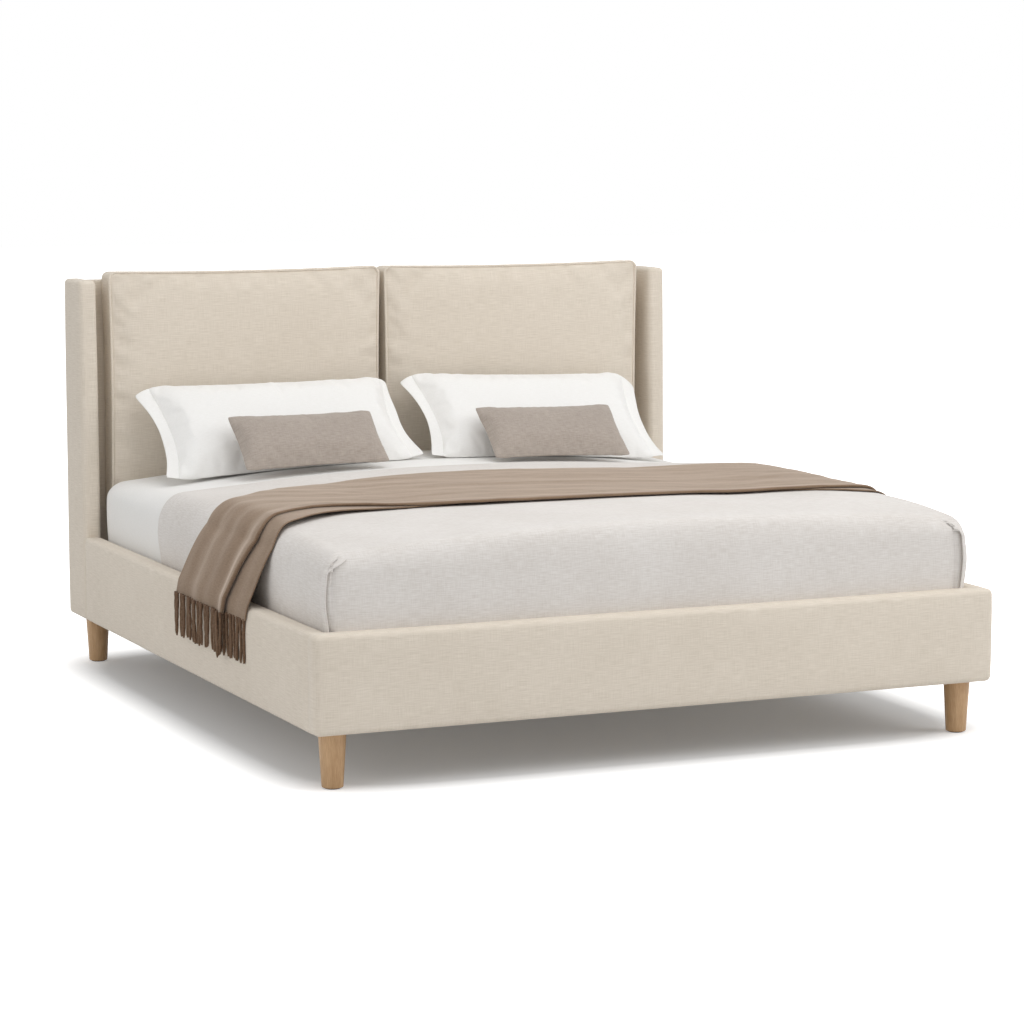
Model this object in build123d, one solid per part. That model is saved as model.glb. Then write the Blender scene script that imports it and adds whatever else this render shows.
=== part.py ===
from build123d import *
import math
import os

# Upholstered king size bed with side wings, two headboard cushions, a slatted base on round
# tapered legs, and the mattress, bed linen, pillows and throw that lie on it.
# Millimetres. X runs across the bed, the foot end is at -Y and the head end at +Y.
# The floor is z = 0, and the origin lies on it in the middle of the bed's outline.

# Mattress, and the room left round it
mattress_width = 1930
mattress_length = 2030
mattress_height = 345
mattress_crown = 45
mattress_edge_radius = 52
mattress_end_radius = 46
mattress_tuck = 12
mattress_recess = 110
mattress_side_gap = 10
mattress_foot_gap = 10
mattress_head_gap = 5

# Upholstered frame: footboard, side rails, wings and headboard panel
frame_thickness = 55
rail_height = 268
wing_height = 1083
wing_depth = 195
wing_lean = 20
panel_thickness = 60
panel_drop = 5
cover_thickness = 2
padding_thickness = 12
edge_radius = 9
facing_thickness = 3
timber_width = 60
inner_stiles = 3

# Legs and the blocks that they screw into
leg_height = 152
leg_top_radius = 38
leg_foot_radius = 29
leg_inset = 73
leg_edge_round = 3
glide_thickness = 3
glide_radius = 21
block_size = 100
block_height = 45
leg_bolt_radius = 4
leg_bolt_reach = 38

# Slatted base
slats_per_side = 15
slat_width = 53
slat_thickness = 8
slat_clearance = 0.5
holder_wall = 2.5
holder_depth = 40
ledger_width = 28
ledger_height = 40
ledger_end_gap = 5
beam_width = 60
beam_height = 60
beam_clearance = 0.3
hanger_thickness = 3
hanger_depth = 45
centre_leg_radius = 20
centre_leg_plate_size = 58
centre_leg_plate_thickness = 3
centre_foot_radius = 24
centre_foot_height = 12

# Brackets and fasteners
bracket_arm = 60
bracket_height = 50
bracket_thickness = 3
bracket_lift = 3
plate_length = 140
bolt_head_radius = 6
bolt_head_height = 4
bolt_radius = 3
bolt_grip = 20
bolt_clearance = 0.2
bolt_pitch = 22
bolt_edge = 25
ledger_screws_per_side = 6

# Headboard cushions
cushion_rise = 23
cushion_height = 778
cushion_depth = 102
cushion_crown = 25
cushion_outer_gap = 48
cushion_middle_gap = 24
cushion_corner_radius = 22
cushion_back_round = 12
cushion_draw_in = 6
piping_radius = 4
fixing_thickness = 3
fixing_width = 50
fixing_margin = 60

# Bed linen
layer_clearance = 0.3
sheet_thickness = 1.7
coverlet_thickness = 5.5
coverlet_reach = 1455

# Throw: a folded upper layer over a lower one that shows along the foot side
throw_foot_edge = 520
throw_width = 675
throw_layer = 5
throw_lower_show = 55
throw_hem_drop = 48
throw_hem_width = 595
throw_hem_slant = 70
throw_waves = 4
throw_wave_height = 11
throw_turn_lift = 2.2
throw_turn_angle = 69
throw_rail_clearance = 0.5
throw_rail_rise = 10
fringe_length = 95

# Pillows and the small cushions in front of them. Margins run from the mattress's sides to the pillows'
# borders, the left pillow reaches past the bed's middle, and offsets are from a pillow's middle inwards to
# the middle of the cushion on it.
pillow_height = 370
pillow_thickness = 130
pillow_seam = 8
pillow_corner_radius = 16
pillow_draw_in = 16
pillow_flange = 42
pillow_flange_thickness = 4
pillow_flange_taper = 14
pillow_left_margin = 87
pillow_right_margin = 57
pillow_middle_reach = 6
pillow_setback = 200
pad_lean = 50
pad_clearance = 2
small_width = 480
small_height = 235
small_thickness = 88
small_seam = 8
small_corner_radius = 12
small_draw_in = 10
small_left_offset = 18
small_right_offset = 54

# Shapes as shares. Pad rows are (share of the half thickness, share of the half height), face rows are
# (share of the half height, share of the crown), and turn rows are (share of the turn, share of the
# lift, share of the fold).
pad_shares = (
    (0.0, 0.0), (0.25, 0.035), (0.52, 0.11), (0.76, 0.24), (0.91, 0.40), (0.98, 0.56), (1.0, 0.72))
face_shares = ((0.0, 0.0), (0.08, 0.48), (0.28, 0.80), (0.64, 1.0))
corner_growth_share = 0.35
corner_limit_share = 0.42
throw_turn_shares = (
    (0.0, 0.0, 0.0), (0.25, 0.5, 0.02), (0.55, 0.9, 0.1), (0.85, 1.0, 0.2), (1.0, 1.0, 0.28))
plate_foot_share = 0.55
centre_leg_shares = (0.36, 0.70)

# Places worked out from the sizes above
mattress_half_width = mattress_width / 2
half_width = mattress_half_width + mattress_side_gap + frame_thickness
inner_half_width = half_width - frame_thickness
bay_length = mattress_foot_gap + mattress_length + mattress_head_gap + cushion_crown
overall_length = frame_thickness + bay_length + cushion_depth + fixing_thickness + panel_thickness
foot_y = -overall_length / 2
head_y = overall_length / 2
foot_inner_y = foot_y + frame_thickness
panel_front_y = head_y - panel_thickness
cushion_back_y = panel_front_y - fixing_thickness
rail_end_y = head_y - wing_depth
mattress_foot_y = foot_inner_y + mattress_foot_gap
mattress_head_y = mattress_foot_y + mattress_length
mattress_middle_y = (mattress_foot_y + mattress_head_y) / 2
frame_bottom = leg_height
frame_top = frame_bottom + rail_height
wing_top = frame_bottom + wing_height
panel_top = wing_top - panel_drop
cushion_top = wing_top + cushion_rise
cushion_bottom = cushion_top - cushion_height
mattress_bottom = frame_top - mattress_recess
holder_height = slat_thickness + 2 * (slat_clearance + holder_wall)
support_top = mattress_bottom - holder_height
board_inset = cover_thickness + padding_thickness
bracket_bottom = frame_bottom + block_height + bracket_lift
bracket_middle_z = bracket_bottom + bracket_height / 2

pillow_width = mattress_half_width - pillow_left_margin + pillow_middle_reach - 2 * pillow_flange
pillow_reach_x = pillow_width / 2 + pillow_flange
pillow_left_spread = mattress_half_width - pillow_left_margin - pillow_reach_x
pillow_right_spread = mattress_half_width - pillow_right_margin - pillow_reach_x
small_left_spread = pillow_left_spread - small_left_offset
small_right_spread = pillow_right_spread - small_right_offset

sheet_outer = layer_clearance + sheet_thickness
coverlet_inner = sheet_outer + layer_clearance
coverlet_outer = coverlet_inner + coverlet_thickness

# The mattress's section across the bed: a wide crown arc that turns down into two corner arcs
crown_radius = (mattress_half_width ** 2 + mattress_crown ** 2) / (2 * mattress_crown)
crown_axis_z = mattress_bottom + mattress_height - crown_radius
corner_x = mattress_half_width - mattress_edge_radius
crown_end_angle = math.degrees(math.asin(corner_x / (crown_radius - mattress_edge_radius)))
corner_z = crown_axis_z + (crown_radius - mattress_edge_radius) * math.cos(math.radians(crown_end_angle))

sides = {"left": -1, "right": 1}
parts = {}


def block(low, high):
    """Box between two corners."""
    size = [abs(b - a) for a, b in zip(low, high)]
    middle = [(a + b) / 2 for a, b in zip(low, high)]
    return Pos(*middle) * Box(*size)


def post(x, y, low, high, radius):
    """Upright round bar between two heights."""
    return Pos(x, y, (low + high) / 2) * Cylinder(radius, high - low)


def bar(point, direction, start, end, radius):
    """Round bar from one distance to another along a direction from a point."""
    plane = Plane(origin=point, z_dir=direction)
    return plane * Pos(0, 0, (start + end) / 2) * Cylinder(radius, end - start)


def bolt(point, direction, grip):
    """Pan head bolt whose head stands on the point and whose shank goes in along the direction."""
    head = bar(point, direction, -bolt_head_height, 0, bolt_head_radius)
    return head + bar(point, direction, 0, grip, bolt_radius)


def bolt_hole(point, direction, grip):
    """Clearance hole for that bolt, past both of its ends."""
    over = bolt_head_height + bolt_clearance
    return bar(point, direction, -over, grip + over, bolt_radius + bolt_clearance)


def outline(width, length, corner, bow):
    """Rounded rectangle whose sides bow out, or draw in where bow is negative."""
    a = width / 2
    b = length / 2
    corners = (-a, b), (a, b), (a, -b), (-a, -b)
    middles = (0, b + bow), (a + bow, 0), (0, -b - bow), (-a - bow, 0)
    ends = corners[1:] + corners[:1]
    runs = [ThreePointArc(*points) for points in zip(corners, middles, ends)]
    return fillet(make_face(Wire(runs)).vertices(), corner)


def cushion_loft(levels, width, length, corner, bow):
    """Closed soft form through outlines drawn in by each level's inset, at each level's height."""
    faces = []
    for z, inset in levels:
        w = width - 2 * inset
        d = length - 2 * inset
        rounding = min(corner + corner_growth_share * max(inset, 0), corner_limit_share * min(w, d))
        faces.append(Pos(0, 0, z) * outline(w, d, rounding, bow * min(w / width, 1)))
    return loft(faces)


def grouped(shapes):
    """Separate solids that share one node."""
    return Compound(children=list(shapes))


# Frame

def upholster(name, form):
    """Board, padding and cover of one upholstered block; form gives the block drawn in by an inset."""
    skin = fillet(form(0).edges(), edge_radius)
    core = fillet(form(cover_thickness).edges(), edge_radius - cover_thickness)
    board = form(board_inset)
    parts[name + "_board"] = board
    parts[name + "_padding"] = core - board
    parts[name + "_cover"] = skin - core


def footboard_form(inset):
    """Footboard across the whole width."""
    return block(
        (-half_width + inset, foot_y + inset, frame_bottom + inset),
        (half_width - inset, foot_inner_y - inset, frame_top - inset))


def rail_form(side):
    """Side rail between the footboard and the wing."""
    def form(inset):
        return block(
            (side * (inner_half_width + inset), foot_inner_y + inset, frame_bottom + inset),
            (side * (half_width - inset), rail_end_y - inset, frame_top - inset))
    return form


def wing_form(side):
    """Wing whose front edge leans back a little towards its top."""
    def form(inset):
        slope = wing_lean / wing_height
        shift = inset * math.hypot(1, slope)
        low_y = rail_end_y + shift + slope * inset
        high_y = rail_end_y + shift + slope * (wing_height - inset)
        profile = Polyline(
            (low_y, frame_bottom + inset), (head_y - inset, frame_bottom + inset),
            (head_y - inset, wing_top - inset), (high_y, wing_top - inset), close=True)
        start = side * (inner_half_width + inset) if side > 0 else side * (half_width - inset)
        return Pos(start, 0, 0) * extrude(Plane.YZ * make_face(profile), frame_thickness - 2 * inset)
    return form


def panel_form(inset):
    """Headboard panel between the wings."""
    return block(
        (-inner_half_width + inset, panel_front_y + inset, frame_bottom + inset),
        (inner_half_width - inset, head_y - inset, panel_top - inset))


def headboard_frame(low, high):
    """Timbers of the headboard panel: top and bottom rails, and stiles cut to fit between them."""
    bottom = block(low, (high[0], high[1], low[2] + timber_width))
    top = block((low[0], low[1], high[2] - timber_width), high)
    timbers = [bottom, top]
    run = high[0] - low[0] - timber_width
    for n in range(inner_stiles + 2):
        x = low[0] + run * n / (inner_stiles + 1)
        timbers.append(block(
            (x, low[1], low[2] + timber_width), (x + timber_width, high[1], high[2] - timber_width)))
    return grouped(timbers)


def build_frame():
    upholster("footboard", footboard_form)
    for name, side in sides.items():
        upholster(name + "_rail", rail_form(side))
        upholster(name + "_wing", wing_form(side))
    upholster("headboard_panel", panel_form)
    box = parts.pop("headboard_panel_board").bounding_box()
    low = tuple(box.min)
    high = tuple(box.max)
    front_facing = block(low, (high[0], low[1] + facing_thickness, high[2]))
    back_facing = block((low[0], high[1] - facing_thickness, low[2]), high)
    parts["headboard_facings"] = grouped([front_facing, back_facing])
    parts["headboard_frame"] = headboard_frame(
        (low[0], low[1] + facing_thickness, low[2]), (high[0], high[1] - facing_thickness, high[2]))


# Legs

def leg_places():
    """Names and places of the four corner legs."""
    ends = {"foot": foot_y + leg_inset, "head": head_y - leg_inset}
    return {
        end + "_" + name: (side * (half_width - leg_inset), y)
        for end, y in ends.items() for name, side in sides.items()}


def corner_block(side, inner_y, inward):
    """Hardwood block in a lower inner corner of the frame."""
    x = side * inner_half_width
    return block(
        (x, inner_y, frame_bottom),
        (x - side * block_size, inner_y + inward * block_size, frame_bottom + block_height))


def build_legs():
    blocks = []
    for side in sides.values():
        blocks += [corner_block(side, foot_inner_y, 1), corner_block(side, panel_front_y, -1)]
    glides = []
    bolts = []
    holes = []
    for name, (x, y) in leg_places().items():
        taper = Pos(x, y, (glide_thickness + leg_height) / 2) * Cone(
            leg_foot_radius, leg_top_radius, leg_height - glide_thickness)
        taper = fillet(taper.edges().filter_by(GeomType.CIRCLE).sort_by(Axis.Z)[:1], leg_edge_round)
        low, high = leg_height - leg_bolt_reach, leg_height + leg_bolt_reach
        hole = post(x, y, low - bolt_clearance, high + bolt_clearance, leg_bolt_radius + bolt_clearance)
        parts[name + "_leg"] = taper - hole
        holes.append(hole)
        glides.append(post(x, y, 0, glide_thickness, glide_radius))
        bolts.append(post(x, y, low, high, leg_bolt_radius))
    parts["corner_blocks"] = grouped([one - holes for one in blocks])
    parts["leg_glides"] = grouped(glides)
    parts["leg_bolts"] = grouped(bolts)


# Slatted base

def slat(side, y):
    """Bowed slat that runs from the ledger's holder to the one on the centre beam."""
    near = side * (holder_wall / 2 + slat_clearance)
    far = side * (inner_half_width - holder_wall - slat_clearance)
    low = support_top + holder_wall + slat_clearance
    high = low + slat_thickness
    middle = (near + far) / 2
    edges = [
        ThreePointArc((near, low), (middle, low + holder_wall), (far, low)),
        Line((far, low), (far, high)),
        ThreePointArc((far, high), (middle, high + holder_wall), (near, high)),
        Line((near, high), (near, low))]
    band = extrude(Plane.XZ * make_face(Wire(edges)), slat_width / 2, both=True)
    return Pos(0, y, 0) * band


def holder_pocket(y, near, far):
    """Room for the end of a slat."""
    half = slat_width / 2 + slat_clearance
    return block(
        (near, y - half, support_top + holder_wall),
        (far, y + half, mattress_bottom - holder_wall))


def end_holder(side, y):
    """Plastic pocket on the ledger, open towards the middle of the bed."""
    outer = side * inner_half_width
    half = slat_width / 2 + slat_clearance + holder_wall
    body = block((outer, y - half, support_top), (outer - side * holder_depth, y + half, mattress_bottom))
    return body - holder_pocket(y, outer - side * holder_wall, outer - side * 2 * holder_depth)


def centre_holder(y):
    """Plastic double pocket on the centre beam, with a wall between the two slats."""
    half = slat_width / 2 + slat_clearance + holder_wall
    body = block((-holder_depth, y - half, support_top), (holder_depth, y + half, mattress_bottom))
    spans = [(side * holder_wall / 2, side * 2 * holder_depth) for side in sides.values()]
    return body - [holder_pocket(y, near, far) for near, far in spans]


def beam_hanger(wall_y, inward):
    """Steel cradle on a wall of the frame that carries one end of the centre beam."""
    half = beam_width / 2 + beam_clearance
    body = block(
        (-half - hanger_thickness, wall_y, support_top - beam_height - hanger_thickness),
        (half + hanger_thickness, wall_y + inward * hanger_depth, support_top))
    pocket = block(
        (-half, wall_y + inward * hanger_thickness, support_top - beam_height),
        (half, wall_y + inward * 2 * hanger_depth, support_top + beam_height))
    return body - pocket


def build_base():
    first_y = mattress_foot_y + slat_width
    last_y = mattress_head_y - slat_width
    rows = [first_y + (last_y - first_y) * n / (slats_per_side - 1) for n in range(slats_per_side)]
    for name, side in sides.items():
        parts[name + "_slats"] = grouped(slat(side, y) for y in rows)
        parts[name + "_ledger"] = block(
            (side * inner_half_width, foot_inner_y + ledger_end_gap, support_top - ledger_height),
            (side * (inner_half_width - ledger_width), rail_end_y - ledger_end_gap, support_top))
    parts["slat_end_holders"] = grouped(end_holder(side, y) for side in sides.values() for y in rows)
    parts["slat_centre_holders"] = grouped(centre_holder(y) for y in rows)
    beam_foot_y = foot_inner_y + hanger_thickness + beam_clearance
    beam_head_y = panel_front_y - hanger_thickness - beam_clearance
    beam_low = support_top - beam_height
    parts["centre_beam"] = block(
        (-beam_width / 2, beam_foot_y, beam_low), (beam_width / 2, beam_head_y, support_top))
    parts["beam_hangers"] = grouped([beam_hanger(foot_inner_y, 1), beam_hanger(panel_front_y, -1)])
    feet = []
    for name, share in zip(("foot", "head"), centre_leg_shares):
        y = beam_foot_y + share * (beam_head_y - beam_foot_y)
        half = centre_leg_plate_size / 2
        plate_low = beam_low - centre_leg_plate_thickness
        plate = block((-half, y - half, plate_low), (half, y + half, beam_low))
        parts[name + "_centre_leg"] = plate + post(0, y, centre_foot_height, plate_low, centre_leg_radius)
        feet.append(post(0, y, 0, centre_foot_height, centre_foot_radius))
    parts["centre_leg_feet"] = grouped(feet)


# Brackets and fasteners

def corner_bracket(side, wall_y, inward):
    """Steel angle in an inner corner of the frame."""
    x = side * inner_half_width
    top = bracket_bottom + bracket_height
    body = block(
        (x, wall_y, bracket_bottom),
        (x - side * bracket_arm, wall_y + inward * bracket_arm, top))
    room = block(
        (x - side * bracket_thickness, wall_y + inward * bracket_thickness, bracket_bottom - bracket_height),
        (x - side * 2 * bracket_arm, wall_y + inward * 2 * bracket_arm, top + bracket_height))
    return body - room


def corner_bolts(side, wall_y, inward):
    """Places and directions of one bracket's bolts: into the side block, then into the end wall."""
    x = side * (inner_half_width - bracket_thickness)
    y = wall_y + inward * bracket_thickness
    z = bracket_middle_z
    steps = (bolt_edge, bolt_edge + bolt_pitch)
    into_side = [((x, wall_y + inward * step, z), (side, 0, 0)) for step in steps]
    into_wall = [((side * (inner_half_width - step), y, z), (0, -inward, 0)) for step in steps]
    return into_side + into_wall


def build_brackets():
    brackets = []
    plates = []
    places = []
    for side in sides.values():
        for wall_y, inward in ((foot_inner_y, 1), (panel_front_y, -1)):
            brackets.append(corner_bracket(side, wall_y, inward))
            places += corner_bolts(side, wall_y, inward)
        x = side * inner_half_width
        start = rail_end_y - plate_foot_share * plate_length
        plates.append(block(
            (x, start, bracket_bottom),
            (x - side * bracket_thickness, start + plate_length, bracket_bottom + bracket_height)))
        end_steps = (rail_end_y - bolt_edge - bolt_pitch, rail_end_y - bolt_edge)
        end_steps += (rail_end_y + bolt_edge, rail_end_y + bolt_edge + bolt_pitch)
        places += [((x - side * bracket_thickness, y, bracket_middle_z), (side, 0, 0)) for y in end_steps]
    grip = bracket_thickness + board_inset + bolt_grip
    holes = [bolt_hole(point, direction, grip) for point, direction in places]
    parts["corner_brackets"] = grouped([one - holes for one in brackets])
    parts["joining_plates"] = grouped([one - holes for one in plates])
    parts["frame_bolts"] = grouped([bolt(point, direction, grip) for point, direction in places])
    return holes


def build_ledger_screws():
    places = []
    span = rail_end_y - foot_inner_y - 2 * (ledger_end_gap + bolt_edge)
    for side in sides.values():
        x = side * (inner_half_width - ledger_width)
        for n in range(ledger_screws_per_side):
            y = foot_inner_y + ledger_end_gap + bolt_edge + span * n / (ledger_screws_per_side - 1)
            places.append(((x, y, support_top - ledger_height / 2), (side, 0, 0)))
    grip = ledger_width + board_inset + bolt_grip
    parts["ledger_screws"] = grouped([bolt(point, direction, grip) for point, direction in places])
    return [bolt_hole(point, direction, grip) for point, direction in places]


def drill(holes):
    """Cut the bolt and screw holes in what they hold."""
    names = ["footboard", "left_rail", "right_rail", "left_wing", "right_wing", "headboard_panel"]
    drilled = [name + "_" + layer for name in names for layer in ("board", "padding", "cover")]
    drilled += ["headboard_frame", "headboard_facings", "left_ledger", "right_ledger"]
    for name in drilled:
        if name not in parts:
            continue
        pieces = []
        for one in parts[name].solids():
            box = one.bounding_box()
            near = [hole for hole in holes if touches(box, hole.bounding_box())]
            pieces.append(one - near if near else one)
        parts[name] = pieces[0] if len(pieces) == 1 else grouped(pieces)


def touches(first, second):
    """Whether two bounding boxes meet."""
    rows = zip(tuple(first.min), tuple(first.max), tuple(second.min), tuple(second.max))
    return all(low <= other_high and other_low <= high for low, high, other_low, other_high in rows)


# Headboard cushions

def piping_ring(width, height):
    """Round cord that lies along the edge between the cushion's side and its front face."""
    stand = (piping_radius + layer_clearance) * math.sqrt(0.5)
    ring = outline(width + 2 * stand, height + 2 * stand, cushion_corner_radius + stand, -cushion_draw_in)
    path = (Pos(0, 0, cushion_depth + stand) * ring).face().outer_wire()
    start = path.edges()[0]
    return sweep(Plane(origin=start @ 0, z_dir=start % 0) * Circle(piping_radius), path=path)


def boxed_cushion(width, height):
    """Cushion with straight boxed sides, a rounded back edge and a crowned front face."""
    boxing = extrude(outline(width, height, cushion_corner_radius, -cushion_draw_in), cushion_depth)
    boxing = fillet(boxing.faces().sort_by(Axis.Z)[0].edges(), cushion_back_round)
    levels = [(crown * cushion_crown, inset * height / 2) for inset, crown in face_shares]
    front = cushion_loft(levels, width, height, cushion_corner_radius, -cushion_draw_in)
    return boxing + Pos(0, 0, cushion_depth) * front


def build_headboard_cushions():
    width = inner_half_width - cushion_outer_gap - cushion_middle_gap / 2
    cushion = boxed_cushion(width, cushion_height)
    piping = piping_ring(width, cushion_height)
    strips = []
    for name, side in sides.items():
        x = side * (cushion_middle_gap + width) / 2
        centre = x, cushion_back_y, cushion_bottom + cushion_height / 2
        place = Plane(origin=centre, x_dir=(1, 0, 0), z_dir=(0, -1, 0))
        parts[name + "_headboard_cushion"] = place * cushion
        parts[name + "_headboard_cushion_piping"] = place * piping
        for edge in sides.values():
            strip_x = x + edge * (width / 2 - fixing_margin - fixing_width / 2)
            strips.append(block(
                (strip_x - fixing_width / 2, cushion_back_y, cushion_bottom + fixing_margin),
                (strip_x + fixing_width / 2, panel_front_y, cushion_top - 2 * fixing_margin)))
    parts["cushion_fixing_strips"] = grouped(strips)


# Mattress and bed linen

def on_corner(tilt, extra):
    """Point of the right corner arc whose outward direction leans from upright by a tilt."""
    angle = math.radians(tilt)
    reach = mattress_edge_radius + extra
    return corner_x + reach * math.sin(angle), corner_z + reach * math.cos(angle)


def bed_side_x(z, extra):
    """Half width of the mattress at a height below the corner arc, drawn in towards its base."""
    drop = corner_z - mattress_bottom
    side_radius = (drop ** 2 + mattress_tuck ** 2) / (2 * mattress_tuck)
    return mattress_half_width - side_radius + math.sqrt((side_radius + extra) ** 2 - (corner_z - z) ** 2)


def bed_form(extra):
    """The mattress's soft form, grown by the layers that lie over it."""
    low = bed_side_x(mattress_bottom, extra), mattress_bottom
    middle = bed_side_x((mattress_bottom + corner_z) / 2, extra), (mattress_bottom + corner_z) / 2
    tilts = 90, (90 + crown_end_angle) / 2, crown_end_angle
    corner = [on_corner(tilt, extra) for tilt in tilts]
    right = [ThreePointArc(low, middle, corner[0]), ThreePointArc(*corner)]
    left = [mirror(edge, about=Plane.YZ) for edge in right]
    top = crown_axis_z + crown_radius + extra
    crown = ThreePointArc(corner[2], (0, top), (-corner[2][0], corner[2][1]))
    base = Line((-low[0], low[1]), low)
    section = Plane.XZ * make_face([base, crown] + right + left)
    form = extrude(section, mattress_length / 2 + extra, both=True)
    rims = form.faces().filter_by(Axis.Y).edges()
    rounded = rims.filter_by(lambda edge: edge.center().Z > mattress_bottom + extra)
    return Pos(0, mattress_middle_y, 0) * fillet(rounded, mattress_end_radius + extra)


def build_mattress():
    parts["mattress"] = bed_form(0)
    parts["fitted_sheet"] = bed_form(sheet_outer) - bed_form(layer_clearance)
    over = 2 * coverlet_outer
    covered = block(
        (-half_width, mattress_foot_y - over, mattress_bottom - over),
        (half_width, mattress_foot_y + coverlet_reach, mattress_bottom + mattress_height + over))
    parts["coverlet"] = (bed_form(coverlet_outer) - bed_form(coverlet_inner)) & covered


# Throw

def throw_section(side, point, tilt, foot_edge, width, wave):
    """Section across the throw: a waved underside, a waved top and a step where the lower layer shows."""
    x, z = point
    out = math.sin(math.radians(tilt))
    up = math.cos(math.radians(tilt))
    y0 = foot_edge
    y1 = foot_edge + throw_lower_show * width / throw_width
    y2 = foot_edge + width

    def at(y, h):
        return side * (x + (h + wave) * out), y, z + (h + wave) * up

    def waved(base):
        run = (y2 - y1) / (2 * throw_waves)
        arcs = []
        for n in range(2 * throw_waves):
            y = y1 + n * run
            start, end = at(y, base), at(y + run, base)
            peak = at(y + run / 2, base + wave * (1 - 2 * (n % 2)))
            arcs.append(ThreePointArc(start, peak, end) if wave else Line(start, end))
        return arcs

    edges = [Line(at(y0, 0), at(y0, throw_layer)), Line(at(y0, throw_layer), at(y1, throw_layer))]
    edges += [Line(at(y1, throw_layer), at(y1, 2 * throw_layer))] + waved(2 * throw_layer)
    edges += [Line(at(y2, 2 * throw_layer), at(y2, 0))] + waved(0) + [Line(at(y1, 0), at(y0, 0))]
    return make_face(Wire(edges))


def throw_band(low_y, high_y, low, high):
    """Flat layer of the throw over the crown of the bed."""
    edges = []
    ends = []
    for extra in (low, high):
        x, z = on_corner(crown_end_angle, extra)
        edges.append(ThreePointArc((-x, z), (0, crown_axis_z + crown_radius + extra), (x, z)))
        ends.append((x, z))
    edges += [Line(*ends), Line(*[(-x, z) for x, z in ends])]
    section = Plane.XZ * make_face(edges)
    return Pos(0, (low_y + high_y) / 2, 0) * extrude(section, (high_y - low_y) / 2, both=True)


def throw_fall(side, slant):
    """The throw from the edge of the crown over the side rail to its hem, and its fringe."""
    base = coverlet_outer + layer_clearance
    foot = mattress_foot_y + throw_foot_edge
    rail_x = half_width + throw_rail_clearance
    rows = []
    for turn, lift, fold in throw_turn_shares:
        tilt = crown_end_angle + (throw_turn_angle - crown_end_angle) * turn
        rows.append((on_corner(tilt, base + lift * throw_turn_lift), tilt, fold))
    turned = rows[-1][0]
    rail = rail_x, frame_top + throw_rail_rise
    between = (turned[0] + rail[0]) / 2, (turned[1] + rail[1]) / 2
    hem = rail_x, frame_top - throw_hem_drop
    last_fold = rows[-1][2]
    rows += [(between, throw_turn_angle, (1 + last_fold) / 2)]
    rows += [(rail, (throw_turn_angle + 90) / 2, 1), (hem, 90, 1)]
    faces = []
    for point, tilt, fold in rows:
        width = throw_width + (throw_hem_width - throw_width) * fold
        wave = throw_wave_height * fold
        faces.append(throw_section(side, point, tilt, foot - slant * fold, width, wave))
    ends = [
        throw_section(side, (hem[0], hem[1] - drop), 90, foot - slant, throw_hem_width, throw_wave_height)
        for drop in (layer_clearance, fringe_length)]
    return loft(faces, ruled=True), loft(ends, ruled=True)


def build_throw():
    left, left_fringe = throw_fall(-1, throw_hem_slant)
    right, right_fringe = throw_fall(1, 0)
    base = coverlet_outer + layer_clearance
    low_y = mattress_foot_y + throw_foot_edge
    high_y = low_y + throw_width
    lower = throw_band(low_y, high_y, base, base + throw_layer)
    upper = throw_band(low_y + throw_lower_show, high_y, base + throw_layer, base + 2 * throw_layer)
    parts["throw"] = lower + upper + left + right
    parts["throw_fringe"] = grouped([left_fringe, right_fringe])


# Pillows and small cushions

def pad(width, height, thickness, seam, corner, draw_in):
    """Knife edged pad about its middle plane, full in the middle and drawn in at its sides."""
    rise = (thickness - seam) / 2
    upper = [(seam / 2 + share * rise, inset_share * height / 2) for share, inset_share in pad_shares]
    levels = [(-z, inset) for z, inset in reversed(upper)] + upper
    return cushion_loft(levels, width, height, corner, -draw_in)


def flanged_pillow():
    """Pillow in its case, with flat borders at the two ends."""
    inner = pillow_width / 2 - pillow_corner_radius - pillow_draw_in
    outer = pillow_reach_x
    low = pillow_height / 2 - pillow_flange_taper
    form = pad(
        pillow_width, pillow_height, pillow_thickness,
        pillow_seam, pillow_corner_radius, pillow_draw_in)
    for side in sides.values():
        border = make_face(Polyline(
            (side * inner, -low + pillow_flange_taper), (side * outer, -low),
            (side * outer, low), (side * inner, low - pillow_flange_taper), close=True))
        form = form + extrude(border, pillow_flange_thickness / 2, both=True)
    return form


def tipped_back(form):
    """The form leaned back, and the reach of its middle from the crown's axis when it lies on the bed."""
    tipped = Rot(90 - pad_lean, 0, 0) * form
    crown = Rot(90, 0, 0) * Cylinder(crown_radius + sheet_outer, pillow_width)
    start = crown_radius + sheet_outer - tipped.bounding_box().min.Z
    drop = (Pos(0, 0, start) * tipped).distance_to(crown)
    return tipped, start - drop + layer_clearance


def set_down(tipped, reach, x, y):
    """A leaned form in its place on the crown of the bed, square to it."""
    roll = math.degrees(math.asin(x / reach))
    return Pos(0, y, crown_axis_z) * Rot(0, roll, 0) * Pos(0, 0, reach) * tipped


def build_pillows():
    pillow, pillow_reach = tipped_back(flanged_pillow())
    small, small_reach = tipped_back(pad(
        small_width, small_height, small_thickness,
        small_seam, small_corner_radius, small_draw_in))
    apart = (pillow_thickness + small_thickness) / 2 + pad_clearance
    lean = math.radians(pad_lean)
    pillow_y = mattress_head_y - pillow_setback
    small_y = pillow_y + (math.sin(lean) * (small_reach - pillow_reach) - apart) / math.cos(lean)
    spreads = {
        "left": (pillow_left_spread, small_left_spread),
        "right": (pillow_right_spread, small_right_spread)}
    for name, side in sides.items():
        pillow_x, small_x = [side * spread for spread in spreads[name]]
        parts[name + "_pillow"] = set_down(pillow, pillow_reach, pillow_x, pillow_y)
        parts[name + "_small_cushion"] = set_down(small, small_reach, small_x, small_y)


build_frame()
build_legs()
build_base()
drill(build_brackets() + build_ledger_screws())
for step in (build_headboard_cushions, build_mattress, build_throw, build_pillows):
    step()
    print(step.__name__, len(parts), "nodes")

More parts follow.
